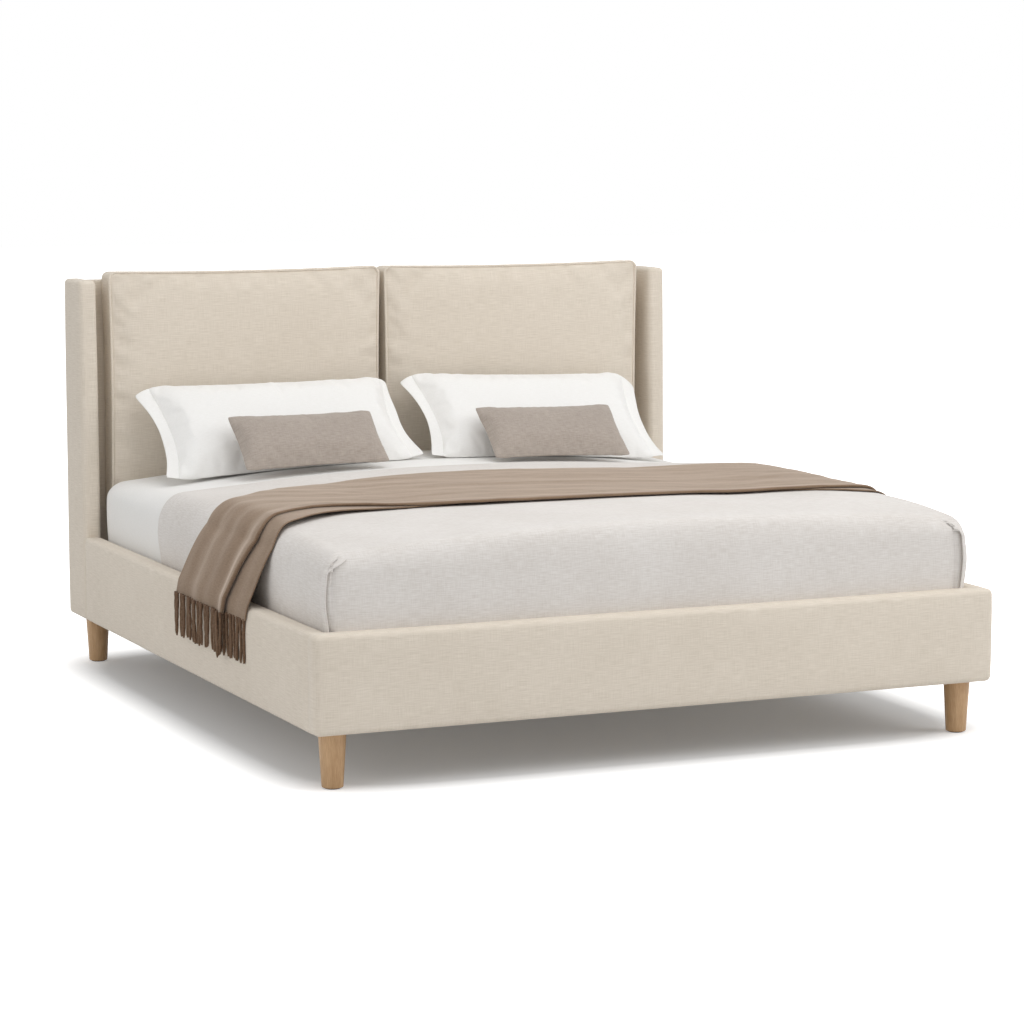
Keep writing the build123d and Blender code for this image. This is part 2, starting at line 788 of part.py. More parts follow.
os.makedirs("parts", exist_ok=True)
for node, shape in parts.items():
    export_step(shape, os.path.join("parts", node + ".step"))
print(len(parts), "nodes")
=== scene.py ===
import sys
import logging
import math
from abc import ABC, abstractmethod
from contextlib import contextmanager
from dataclasses import dataclass, field
from enum import Enum
from typing import Callable, ClassVar, Iterable, Iterator, Sequence

import bpy
import numpy as np
from mathutils import Matrix, Vector, noise


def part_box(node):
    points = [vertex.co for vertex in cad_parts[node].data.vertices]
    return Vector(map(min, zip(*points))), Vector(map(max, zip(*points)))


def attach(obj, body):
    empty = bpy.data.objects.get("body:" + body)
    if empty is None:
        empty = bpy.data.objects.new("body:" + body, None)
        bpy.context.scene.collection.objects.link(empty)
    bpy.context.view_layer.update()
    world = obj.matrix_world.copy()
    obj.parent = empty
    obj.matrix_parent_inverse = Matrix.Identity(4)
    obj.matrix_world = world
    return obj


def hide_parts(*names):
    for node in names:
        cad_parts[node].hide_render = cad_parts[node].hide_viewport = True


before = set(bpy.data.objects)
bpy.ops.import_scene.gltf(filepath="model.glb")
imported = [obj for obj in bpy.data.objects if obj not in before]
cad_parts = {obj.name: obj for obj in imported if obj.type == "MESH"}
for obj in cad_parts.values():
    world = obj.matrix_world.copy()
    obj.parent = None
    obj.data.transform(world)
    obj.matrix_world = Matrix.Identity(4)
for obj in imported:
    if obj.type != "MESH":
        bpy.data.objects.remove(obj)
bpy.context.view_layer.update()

log = logging.getLogger("bed")

Point = tuple[float, float, float]
Piece = bpy.types.Object
Tree = bpy.types.NodeTree
Node = bpy.types.Node
Socket = bpy.types.NodeSocket
MM = 0.001
# Two points nearer than this stand in one plane, in metres.
NEAR = 1e-5
# Frames of cloth simulation in which a case fills.
FILLING_FRAMES = 20


# Small tools for shaping

def deselect_all() -> None:
    """Leaves nothing selected, so that an operator acts only on what is selected next."""
    bpy.ops.object.select_all(action="DESELECT")


def pick(piece: Piece) -> None:
    """Makes one piece the only selected and the active one.

    Args:
        piece: the piece.
    """
    deselect_all()
    piece.select_set(True)
    bpy.context.view_layer.objects.active = piece


def placed(piece: Piece) -> None:
    """Moves a piece's place, turn and scale from its object into its mesh."""
    pick(piece)
    bpy.ops.object.transform_apply(location=True, rotation=True, scale=True)


def centred(low: Sequence[float], high: Sequence[float]) -> tuple[list[float], list[float]]:
    """Middle and half sizes of the box between two corners."""
    return [(a + b) / 2 for a, b in zip(low, high)], [(b - a) / 2 for a, b in zip(low, high)]


def new_cube(name: str, low: Sequence[float], high: Sequence[float]) -> Piece:
    """Adds a box between two corners as the start of a piece.

    Args:
        name: name of the piece.
        low: lowest corner, in metres.
        high: highest corner, in metres.

    Returns:
        The new object, with its place in its mesh.
    """
    deselect_all()
    bpy.ops.mesh.primitive_cube_add(size=1, location=centred(low, high)[0])
    piece = bpy.context.active_object
    piece.name = name
    piece.scale = [b - a for a, b in zip(low, high)]
    placed(piece)
    return piece


def cloth_map(piece: Piece) -> bpy.types.MeshUVLoopLayer:
    """A piece's UV map, added where it has none."""
    return piece.data.uv_layers.active or piece.data.uv_layers.new(name="cloth")


def new_grid(name: str, columns: int, rows: int, place: Callable[[float, float], Point],
             cloth: Callable[[float, float], tuple[float, float]]) -> Piece:
    """Adds a grid of cloth and lays it out point by point, with a UV map in metres.

    Args:
        name: name of the piece.
        columns: cells along the first direction.
        rows: cells along the second direction.
        place: point for a pair of shares of the two directions, each from 0 to 1.
        cloth: distances along the cloth for the same pair, in metres.

    Returns:
        The new object.
    """
    deselect_all()
    bpy.ops.mesh.primitive_grid_add(x_subdivisions=columns, y_subdivisions=rows, size=2)
    piece = bpy.context.active_object
    piece.name = name
    mesh = piece.data
    shares = [((v.co.x + 1) / 2, (v.co.y + 1) / 2) for v in mesh.vertices]
    for vertex, (u, v) in zip(mesh.vertices, shares):
        vertex.co = place(u, v)
    layer = cloth_map(piece)
    for loop in mesh.loops:
        layer.data[loop.index].uv = cloth(*shares[loop.vertex_index])
    mesh.update()
    return piece


class Part(Enum):
    """The parts of a mesh that edit mode can pick."""
    VERTEX = 0
    EDGE = 1
    FACE = 2


@contextmanager
def editing(piece: Piece, part: Part = Part.EDGE) -> Iterator[None]:
    """Holds a piece in edit mode while a block of operators runs.

    Args:
        piece: the piece.
        part: what the operators pick.
    """
    pick(piece)
    bpy.context.tool_settings.mesh_select_mode = [part is kind for kind in Part]
    bpy.ops.object.mode_set(mode="EDIT")
    yield
    bpy.ops.object.mode_set(mode="OBJECT")


def mark(piece: Piece, part: Part, chosen: Callable[[Vector, Vector], bool]) -> None:
    """Selects nothing but the edges, or the faces, that a test picks.

    Args:
        piece: the piece.
        part: edges, tested by their two ends, or faces, tested by their middle and normal.
        chosen: the test.
    """
    with editing(piece, part):
        bpy.ops.mesh.select_all(action="DESELECT")
    mesh = piece.data
    if part is Part.FACE:
        for polygon in mesh.polygons:
            polygon.select = chosen(polygon.center, polygon.normal)
    else:
        for edge in mesh.edges:
            edge.select = chosen(*(mesh.vertices[n].co for n in edge.vertices))


def cut_through(piece: Piece, axis: int, places: Iterable[float]) -> None:
    """Cuts a piece's faces along planes square to an axis, so that it can take a soft shape.

    Args:
        piece: the piece.
        axis: 0, 1 or 2 for X, Y or Z.
        places: where the planes stand on that axis, in metres.
    """
    normal = [float(axis == k) for k in range(3)]
    with editing(piece):
        for place in places:
            bpy.ops.mesh.select_all(action="SELECT")
            bpy.ops.mesh.bisect(plane_co=[place * n for n in normal], plane_no=normal)


def bevel_edges(piece: Piece, width: float, segments: int,
                chosen: Callable[[Vector, Vector], bool]) -> None:
    """Rounds the edges that a test on their two ends picks.

    Args:
        piece: the piece.
        width: width of the rounding, in metres.
        segments: facets across it.
        chosen: test on an edge's two end points.
    """
    mark(piece, Part.EDGE, chosen)
    with editing(piece):
        bpy.ops.mesh.bevel(offset=width, offset_type="OFFSET", segments=segments, affect="EDGES",
                           clamp_overlap=True)


def drop_faces(piece: Piece, chosen: Callable[[Vector, Vector], bool]) -> None:
    """Deletes the faces that a test on their middle and normal picks.

    Args:
        piece: the piece.
        chosen: the test.
    """
    mark(piece, Part.FACE, chosen)
    with editing(piece, Part.FACE):
        bpy.ops.mesh.delete(type="FACE")


def face_outward(piece: Piece) -> None:
    """Turns all faces of a closed piece outward.

    Args:
        piece: the piece.
    """
    with editing(piece, Part.FACE):
        bpy.ops.mesh.select_all(action="SELECT")
        bpy.ops.mesh.normals_make_consistent(inside=False)


def reshape(piece: Piece, move: Callable[[Vector], Sequence[float]]) -> None:
    """Moves every point of a piece.

    Args:
        piece: the piece.
        move: new place for an old one.
    """
    for vertex in piece.data.vertices:
        vertex.co = move(vertex.co)
    piece.data.update()


def modify(piece: Piece, kind: str, **settings: object) -> None:
    """Adds a modifier, sets it and applies it.

    Args:
        piece: the piece.
        kind: type of the modifier.
        settings: its properties.
    """
    pick(piece)
    modifier = piece.modifiers.new(kind.lower(), kind)
    for name, value in settings.items():
        setattr(modifier, name, value)
    bpy.ops.object.modifier_apply(modifier=modifier.name)


def smooth(piece: Piece, degrees: float = 50) -> None:
    """Shades a piece smooth up to an angle between faces."""
    pick(piece)
    bpy.ops.object.shade_smooth_by_angle(angle=math.radians(degrees))


def lay_cloth(piece: Piece) -> None:
    """Gives a piece a UV map in metres, flat on each side, so that a weave keeps its scale.

    Args:
        piece: the piece.
    """
    mesh = piece.data
    layer = cloth_map(piece)
    planes = {0: (1, 2), 1: (0, 2), 2: (0, 1)}
    for polygon in mesh.polygons:
        across, up = planes[max(range(3), key=lambda k: abs(polygon.normal[k]))]
        for loop in polygon.loop_indices:
            co = mesh.vertices[mesh.loops[loop].vertex_index].co
            layer.data[loop].uv = (co[across], co[up])


def joined(name: str, pieces: Sequence[Piece]) -> Piece:
    """Joins several meshes into one piece.

    Args:
        name: name of the piece.
        pieces: the meshes.

    Returns:
        The joined piece.
    """
    deselect_all()
    for piece in pieces:
        piece.select_set(True)
    bpy.context.view_layer.objects.active = pieces[0]
    bpy.ops.object.join()
    pieces[0].name = name
    return pieces[0]


def inflate(piece: Piece, held: Sequence[int], pressure: float, growth: float,
            cap: float) -> None:
    """Fills a closed piece with simulated cloth and applies the result.

    Args:
        piece: the piece, near its filled shape.
        held: numbers of the points that stay in place.
        pressure: pressure of the filling.
        growth: how much longer than its shape the cloth is, as a share, which gives it its puckers.
        cap: farthest that a point may move, in metres.
    """
    start = [vertex.co.copy() for vertex in piece.data.vertices]
    group = piece.vertex_groups.new(name="held")
    group.add(list(held), 1.0, "REPLACE")
    cloth = piece.modifiers.new("cloth", "CLOTH")
    settings = cloth.settings
    settings.quality = 6
    settings.mass = 0.3
    settings.tension_stiffness = settings.compression_stiffness = 25
    settings.shear_stiffness = 10
    settings.bending_stiffness = 0.8
    settings.vertex_group_mass = group.name
    settings.shrink_min = -growth
    settings.use_pressure = True
    settings.uniform_pressure_force = pressure
    settings.effector_weights.gravity = 0
    cloth.collision_settings.use_collision = False
    scene = bpy.context.scene
    for number in range(1, FILLING_FRAMES + 1):
        scene.frame_set(number)
    pick(piece)
    bpy.ops.object.modifier_apply(modifier=cloth.name)
    scene.frame_set(1)
    piece.vertex_groups.clear()
    for vertex, place in zip(piece.data.vertices, start):
        move = vertex.co - place
        if move.length > cap:
            vertex.co = place + move * (cap / move.length)
    piece.data.update()


def flowing(places: Sequence[float], values: Sequence[float]) -> Callable[[float], float]:
    """Smooth curve through a value at each of several places.

    Args:
        places: the places, in rising order.
        values: the value at each.

    Returns:
        Function that gives the curve's value at a place.
    """
    xs, ys = np.array(places), np.array(values)
    slopes = np.gradient(ys, xs)

    def at(where: float) -> float:
        """Cubic between the two places on either side.

        Args:
            where: the place.

        Returns:
            The curve's value there.
        """
        n = int(min(max(np.searchsorted(xs, where) - 1, 0), len(xs) - 2))
        span = xs[n + 1] - xs[n]
        t = min(max((where - xs[n]) / span, 0.0), 1.0)
        rise = t * t * (3 - 2 * t)
        lead, trail = t * (1 - t) ** 2, t * t * (t - 1)
        bend = span * (slopes[n] * lead + slopes[n + 1] * trail)
        return float(ys[n] + (ys[n + 1] - ys[n]) * rise + bend)

    return at


def ease(share: float) -> float:
    """Smooth step from 0 to 1."""
    t = min(max(share, 0.0), 1.0)
    return t * t * (3 - 2 * t)


def rough(point: Sequence[float], size: float, seed: float = 0.0) -> float:
    """Smooth noise from about -1 to 1, with bumps of about one size in metres."""
    return noise.noise(Vector(point) / size + Vector((seed, seed * 0.7, -seed)))


def steps(low: float, high: float, spacing: float) -> list[float]:
    """Evenly spaced places strictly between two ends, about a spacing apart."""
    count = max(1, round((high - low) / spacing))
    return [low + (high - low) * n / count for n in range(1, count)]


# Finishes

def linear(code: str) -> tuple[float, float, float, float]:
    """Turns an sRGB hex colour to the linear values that a shader takes.

    Args:
        code: the colour, such as #C0C0C0.

    Returns:
        Its red, green, blue and alpha.
    """
    values = [int(code[n:n + 2], 16) / 255 for n in (1, 3, 5)]
    straight = [v / 12.92 if v <= 0.04045 else ((v + 0.055) / 1.055) ** 2.4 for v in values]
    return (*straight, 1.0)


def add_node(tree: Tree, kind: str, settings: dict | None = None, links: dict | None = None) -> Node:
    """Adds a shader node with its settings and links.

    Args:
        tree: node tree that gets the node.
        kind: the node's type, without the words ShaderNode.
        settings: values by input name, input number or property name.
        links: output sockets by input name or number.

    Returns:
        The new node.
    """
    node = tree.nodes.new("ShaderNode" + kind)
    for name, value in (settings or {}).items():
        if isinstance(name, str) and name not in node.inputs:
            setattr(node, name, value)
    for name, value in (settings or {}).items():
        if isinstance(name, int) or name in node.inputs:
            node.inputs[name].default_value = value
    for name, socket in (links or {}).items():
        tree.links.new(socket, node.inputs[name])
    return node


@dataclass(frozen=True)
class Finish(ABC):
    """A surface finish between a light and a dark shade; its material is made once for each name."""
    name: str
    roughness: float
    light: str
    dark: str
    relief_mm: float
    relief_strength: ClassVar[float] = 0.5

    def material(self) -> bpy.types.Material:
        """The finish's material, made when it is first asked for.

        Returns:
            The material.
        """
        found = bpy.data.materials.get(self.name)
        if found:
            return found
        material = bpy.data.materials.new(self.name)
        material.use_nodes = True
        tree = material.node_tree
        shader = tree.nodes["Principled BSDF"]
        shader.inputs["Roughness"].default_value = self.roughness
        share, height = self.pattern(tree, shader)
        colour = add_node(tree, "Mix", {"data_type": "RGBA", 6: linear(self.dark), 7: linear(self.light)},
                          {0: share}).outputs[2]
        tree.links.new(colour, shader.inputs["Base Color"])
        bump = add_node(tree, "Bump", {"Strength": self.relief_strength, "Distance": self.relief_mm * MM},
                        {"Height": height})
        tree.links.new(bump.outputs[0], shader.inputs["Normal"])
        return material

    @abstractmethod
    def pattern(self, tree: Tree, shader: Node) -> tuple[Socket, Socket]:
        """Adds the nodes that vary the finish.

        Args:
            tree: the material's nodes.
            shader: its shader, for what is the same all over.

        Returns:
            The share of the light shade and the height of the relief.
        """


@dataclass(frozen=True)
class Woven(Finish):
    """Plain woven cloth: uneven threads both ways, the crosswise ones stronger."""
    thread_mm: float
    slub_mm: float
    sheen: float = 0.15
    spread: float = 0.2
    warp_share: float = 0.36
    mottle_mm: float = 240.0
    mottle: float = 0.25
    sheen_roughness: float = 0.5
    sheen_tint: str = "#FFFFFF"
    specular_level: float = 0.2
    relief_strength: ClassVar[float] = 0.6

    def pattern(self, tree: Tree, shader: Node) -> tuple[Socket, Socket]:
        """Two crossed sets of stretched noise stand for weft and warp, over a broad unevenness.

        Args:
            tree: the material's nodes.
            shader: its shader.

        Returns:
            The share of the light shade and the height of the relief.
        """
        even = {"Sheen Weight": self.sheen, "Sheen Roughness": self.sheen_roughness,
                "Sheen Tint": linear(self.sheen_tint), "Specular IOR Level": self.specular_level}
        for name, value in even.items():
            shader.inputs[name].default_value = value
        uv = add_node(tree, "TexCoord").outputs["UV"]
        along, across = 1 / (self.slub_mm * MM), 1 / (self.thread_mm * MM)
        sets = []
        for scale in ((along, across, 1), (across, along, 1)):
            vector = add_node(tree, "Mapping", {"Scale": scale}, {"Vector": uv}).outputs[0]
            sets.append(add_node(
                tree, "TexNoise",
                {"noise_dimensions": "2D", "Scale": 1.0, "Detail": 2.0, "Roughness": 0.55},
                {"Vector": vector}).outputs[0])
        weave = add_node(tree, "Mix", {"data_type": "FLOAT", 0: self.warp_share},
                         {2: sets[0], 3: sets[1]}).outputs[0]
        broad = add_node(
            tree, "TexNoise",
            {"noise_dimensions": "2D", "Scale": 1 / (self.mottle_mm * MM), "Detail": 2.0},
            {"Vector": uv}).outputs[0]
        tone = add_node(tree, "Math", {"operation": "MULTIPLY_ADD", 1: self.mottle},
                        {0: broad, 2: weave}).outputs[0]
        middle = 0.5 + 0.5 * self.mottle
        limits = {"From Min": middle - self.spread, "From Max": middle + self.spread}
        share = add_node(tree, "MapRange", limits, {"Value": tone}).outputs[0]
        return share, weave


@dataclass(frozen=True)
class Timber(Finish):
    """Wood with its grain along one axis of the bed."""
    grain_mm: float
    figure_mm: float
    grain_axis: int

    def pattern(self, tree: Tree, shader: Node) -> tuple[Socket, Socket]:
        """Fine pores over wide growth bands, both drawn out along the grain.

        Args:
            tree: the material's nodes.
            shader: its shader; not used.

        Returns:
            The share of the light shade and the height of the relief.
        """
        coordinates = add_node(tree, "TexCoord").outputs["Object"]
        layers = []
        for across, longer in ((self.grain_mm, 60), (self.figure_mm, 12)):
            scale = [1 / (across * MM)] * 3
            scale[self.grain_axis] = 1 / (longer * across * MM)
            vector = add_node(tree, "Mapping", {"Scale": scale}, {"Vector": coordinates}).outputs[0]
            layers.append(add_node(tree, "TexNoise", {"Scale": 1.0, "Detail": 4.0, "Roughness": 0.6},
                                   {"Vector": vector}).outputs[0])
        both = add_node(tree, "Math", {"operation": "ADD"}, {0: layers[0], 1: layers[1]}).outputs[0]
        share = add_node(tree, "MapRange", {"From Min": 0.72, "From Max": 1.28}, {"Value": both}).outputs[0]
        return share, layers[0]


@dataclass(frozen=True)
class Grainy(Finish):
    """Plastic, rubber, foam, felt, tape or metal: one colour broken by a fine grain."""
    grain_mm: float
    metallic: float = 0.0

    def pattern(self, tree: Tree, shader: Node) -> tuple[Socket, Socket]:
        """One fine noise drives the colour and the relief.

        Args:
            tree: the material's nodes.
            shader: its shader.

        Returns:
            The share of the light shade and the height of the relief.
        """
        shader.inputs["Metallic"].default_value = self.metallic
        coordinates = add_node(tree, "TexCoord").outputs["Object"]
        grain = add_node(tree, "TexNoise", {"Scale": 1 / (self.grain_mm * MM), "Detail": 3.0},
                         {"Vector": coordinates}).outputs[0]
        share = add_node(tree, "MapRange", {"From Min": 0.3, "From Max": 0.7}, {"Value": grain}).outputs[0]
        return share, grain


# Linen-look polyester upholstery: matt, slubby, warm beige with paler threads.
UPHOLSTERY = Woven("linen_look_upholstery", 0.92, "#EBE1D3", "#D9CEBE", 0.25, 1.9, 46.0, mottle=0.15)
# Washed cotton coverlet: light warm grey, with a fine crosswise thread.
COVERLET = Woven("washed_cotton_coverlet", 0.9, "#E9E5E1", "#D7D1CB", 0.25, 2.6, 34.0)
# Cotton percale: smooth white, with barely visible threads.
PERCALE = Woven("cotton_percale", 0.85, "#F6F5F3", "#F0EFEC", 0.08, 2.2, 18.0)
# Brushed wool blend: soft taupe nap with a broad bloom of sheen.
WOOL = Woven("brushed_wool_throw", 0.95, "#957F6A", "#7C6653", 0.35, 3.0, 30.0, sheen=0.78,
             warp_share=0.5, sheen_roughness=0.38, sheen_tint="#FFF0E2")
# The same yarn in the fringe, with painted shade: its colours are darker than the throw's all over,
# standing for the shade between strands that stand side by side.
SHADED_FRINGE_YARN = Woven("wool_fringe_yarn_painted_shade", 0.95, "#806752", "#5F4836", 0.4, 3.0, 12.0, sheen=0.1, warp_share=0.5)
# Slubby linen of the small cushions: grey taupe with irregular threads.
SLUB_LINEN = Woven("slub_linen", 0.9, "#B6ABA1", "#A1968D", 0.35, 2.6, 24.0)
# Knitted ticking of the mattress, seen only from below.
TICKING = Woven("knitted_ticking", 0.85, "#EFECE6", "#E2DED6", 0.3, 3.0, 9.0)
# Turned oak under clear oil: satin, with open pores along the leg.
OAK = Timber("oiled_oak", 0.48, "#C9A67E", "#A9835A", 0.05, 1.6, 14.0, 2)
# Bent birch laminate of the slats, sanded and sealed.
BIRCH = Timber("birch_laminate", 0.5, "#E3CDA6", "#CFB083", 0.05, 1.4, 22.0, 0)
# Planed softwood of the beam and ledgers, along the bed.
SPRUCE = Timber("planed_spruce", 0.65, "#E2C899", "#C9A56E", 0.05, 1.8, 20.0, 1)
# Softwood of the headboard frame and corner blocks.
FRAME_WOOD = Timber("sawn_softwood", 0.75, "#D9BE8E", "#BD9A65", 0.05, 2.2, 24.0, 0)
# Chipboard core, sawn: speckled and open.
CHIPBOARD = Grainy("sawn_chipboard", 0.85, "#CFB184", "#A8865A", 0.4, 5.0)
# Hardboard facing: dense brown fibres.
HARDBOARD = Grainy("hardboard", 0.7, "#9F7A4E", "#835F39", 0.1, 3.0)
# Bright zinc plating: a pale, slightly cloudy metal.
ZINC = Grainy("bright_zinc", 0.38, "#C9CCCE", "#AEB2B5", 0.03, 7.0, metallic=1.0)
# Powder coat: matt black with a slight orange peel.
POWDER_COAT = Grainy("black_powder_coat", 0.55, "#2E2E2F", "#222223", 0.05, 1.5)
# Moulded polypropylene of the slat holders.
HOLDER_PLASTIC = Grainy("moulded_polypropylene", 0.5, "#303032", "#262628", 0.04, 2.0)
# Moulded rubber of the centre legs' feet.
FOOT_RUBBER = Grainy("moulded_rubber", 0.8, "#2C2B2A", "#1F1E1E", 0.08, 2.0)
# Pressed felt glides.
FELT = Grainy("pressed_felt", 1.0, "#6A655F", "#4C4843", 0.3, 2.0)
# Hook and loop tape.
HOOK_TAPE = Grainy("hook_and_loop_tape", 1.0, "#45413C", "#2F2C29", 0.5, 1.5)


class Body(Enum):
    """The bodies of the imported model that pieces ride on."""
    FRAME = "frame"
    MATTRESS = "mattress"
    THROW = "throw"


def own(piece: Piece, body: str, slot: str, finish: Finish, *nodes: str) -> None:
    """Gives a finished piece its finish and body, and hides the nodes that it stands for.

    Args:
        piece: the finished piece.
        body: body that it rides on.
        slot: the record's material slot; not used.
        finish: its finish.
        nodes: nodes that it replaces.
    """
    piece.data.materials.clear()
    piece.data.materials.append(finish.material())
    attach(piece, body)
    if nodes:
        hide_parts(*nodes)
    log.info("%s: %d faces", piece.name, len(piece.data.polygons))


# The upholstered frame

@dataclass
class UpholsteredBlock:
    """One padded block of the frame, round at its free edges and tight where it meets another."""
    name: str
    joints: tuple[str, ...] = ()
    round_edge: float = 0.014
    joint_edge: float = 0.002
    puff: float = 0.003
    unevenness: float = 0.35
    top_wave: float = 0.0012
    cell: float = 0.06
    lean: float = 0.0

    def build(self) -> None:
        """Models the cover and dresses it."""
        low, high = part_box(self.name + "_cover")
        piece = new_cube(self.name + "_cloth", low, high)
        planes = [(axis, (low, high)[sign == "+"][axis]) for sign, axis in
                  ((joint[0], "xyz".index(joint[1])) for joint in self.joints)]

        def at_joint(a: Vector, b: Vector) -> bool:
            """Whether an edge lies where the block meets another."""
            return any(abs(a[axis] - place) < NEAR and abs(b[axis] - place) < NEAR
                       for axis, place in planes)

        bevel_edges(piece, self.round_edge, 6, lambda a, b: not at_joint(a, b))
        if planes:
            bevel_edges(piece, self.joint_edge, 2, at_joint)
        for axis in range(3):
            cut_through(piece, axis, steps(low[axis], high[axis], self.cell))
        middle, half = centred(low, high)
        long_axis = max((0, 1, 2), key=lambda k: half[k])

        def soften(co: Vector) -> Sequence[float]:
            """Place of one point on the swollen, slightly uneven cover.

            Args:
                co: the point on the plain block.

            Returns:
                Its place on the cover.
            """
            shares = [(c - m) / h for c, m, h in zip(co, middle, half)]
            moved = list(co)
            for k in range(2):
                others = [shares[n] for n in range(3) if n != k]
                swell = math.prod(max(0.0, 1 - abs(s) ** 6) for s in others) * max(0.0, abs(shares[k]) ** 8)
                wave = 1 + self.unevenness * rough(co, 0.35, 3.0 + k)
                moved[k] += math.copysign(self.puff * swell * wave, shares[k])
            top_swell = max(0.0, shares[2]) ** 8 * max(0.0, 1 - abs(shares[long_axis]) ** 8)
            moved[2] += self.top_wave * top_swell * rough(co, 0.25, 9.0)
            front = ease((middle[1] - co.y) / half[1])
            moved[1] += self.lean * front * max(0.0, (shares[2] + 1) / 2)
            return moved

        reshape(piece, soften)
        lay_cloth(piece)
        smooth(piece)
        own(piece, Body.FRAME.value, "upholstery", UPHOLSTERY,
            self.name + "_cover", self.name + "_padding")


@dataclass
class Frame:
    """Footboard, rails, wings and panel, with the timber and steel that hold them."""
    wing_lean: float = 0.020
    plain_nodes: dict[str, Finish] = field(default_factory=lambda: {
        "footboard_board": CHIPBOARD, "left_rail_board": CHIPBOARD, "right_rail_board": CHIPBOARD,
        "left_wing_board": CHIPBOARD, "right_wing_board": CHIPBOARD, "headboard_facings": HARDBOARD,
        "headboard_frame": FRAME_WOOD, "corner_blocks": FRAME_WOOD, "left_ledger": SPRUCE,
        "right_ledger": SPRUCE, "centre_beam": SPRUCE, "left_slats": BIRCH, "right_slats": BIRCH,
        "slat_end_holders": HOLDER_PLASTIC, "slat_centre_holders": HOLDER_PLASTIC,
        "corner_brackets": ZINC, "joining_plates": ZINC, "frame_bolts": ZINC, "ledger_screws": ZINC,
        "leg_bolts": ZINC, "beam_hangers": ZINC, "foot_centre_leg": POWDER_COAT,
        "head_centre_leg": POWDER_COAT, "centre_leg_feet": FOOT_RUBBER, "leg_glides": FELT,
        "foot_left_leg": OAK, "foot_right_leg": OAK, "head_left_leg": OAK, "head_right_leg": OAK,
        "cushion_fixing_strips": HOOK_TAPE})

    def build(self) -> None:
        """Builds the covers and dresses the nodes that stay."""
        blocks = [
            UpholsteredBlock("footboard", ("+y",), round_edge=0.016),
            UpholsteredBlock("left_rail", ("-y", "+y")),
            UpholsteredBlock("right_rail", ("-y", "+y")),
            UpholsteredBlock("left_wing", lean=self.wing_lean),
            UpholsteredBlock("right_wing", lean=self.wing_lean),
            UpholsteredBlock("headboard_panel", ("-x", "+x", "-y", "+y", "-z", "+z"), puff=0.002),
        ]
        for block in blocks:
            block.build()
        for node, finish in self.plain_nodes.items():
            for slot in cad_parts[node].material_slots:
                slot.material = finish.material()
        log.info("frame dressed")


# Headboard cushions

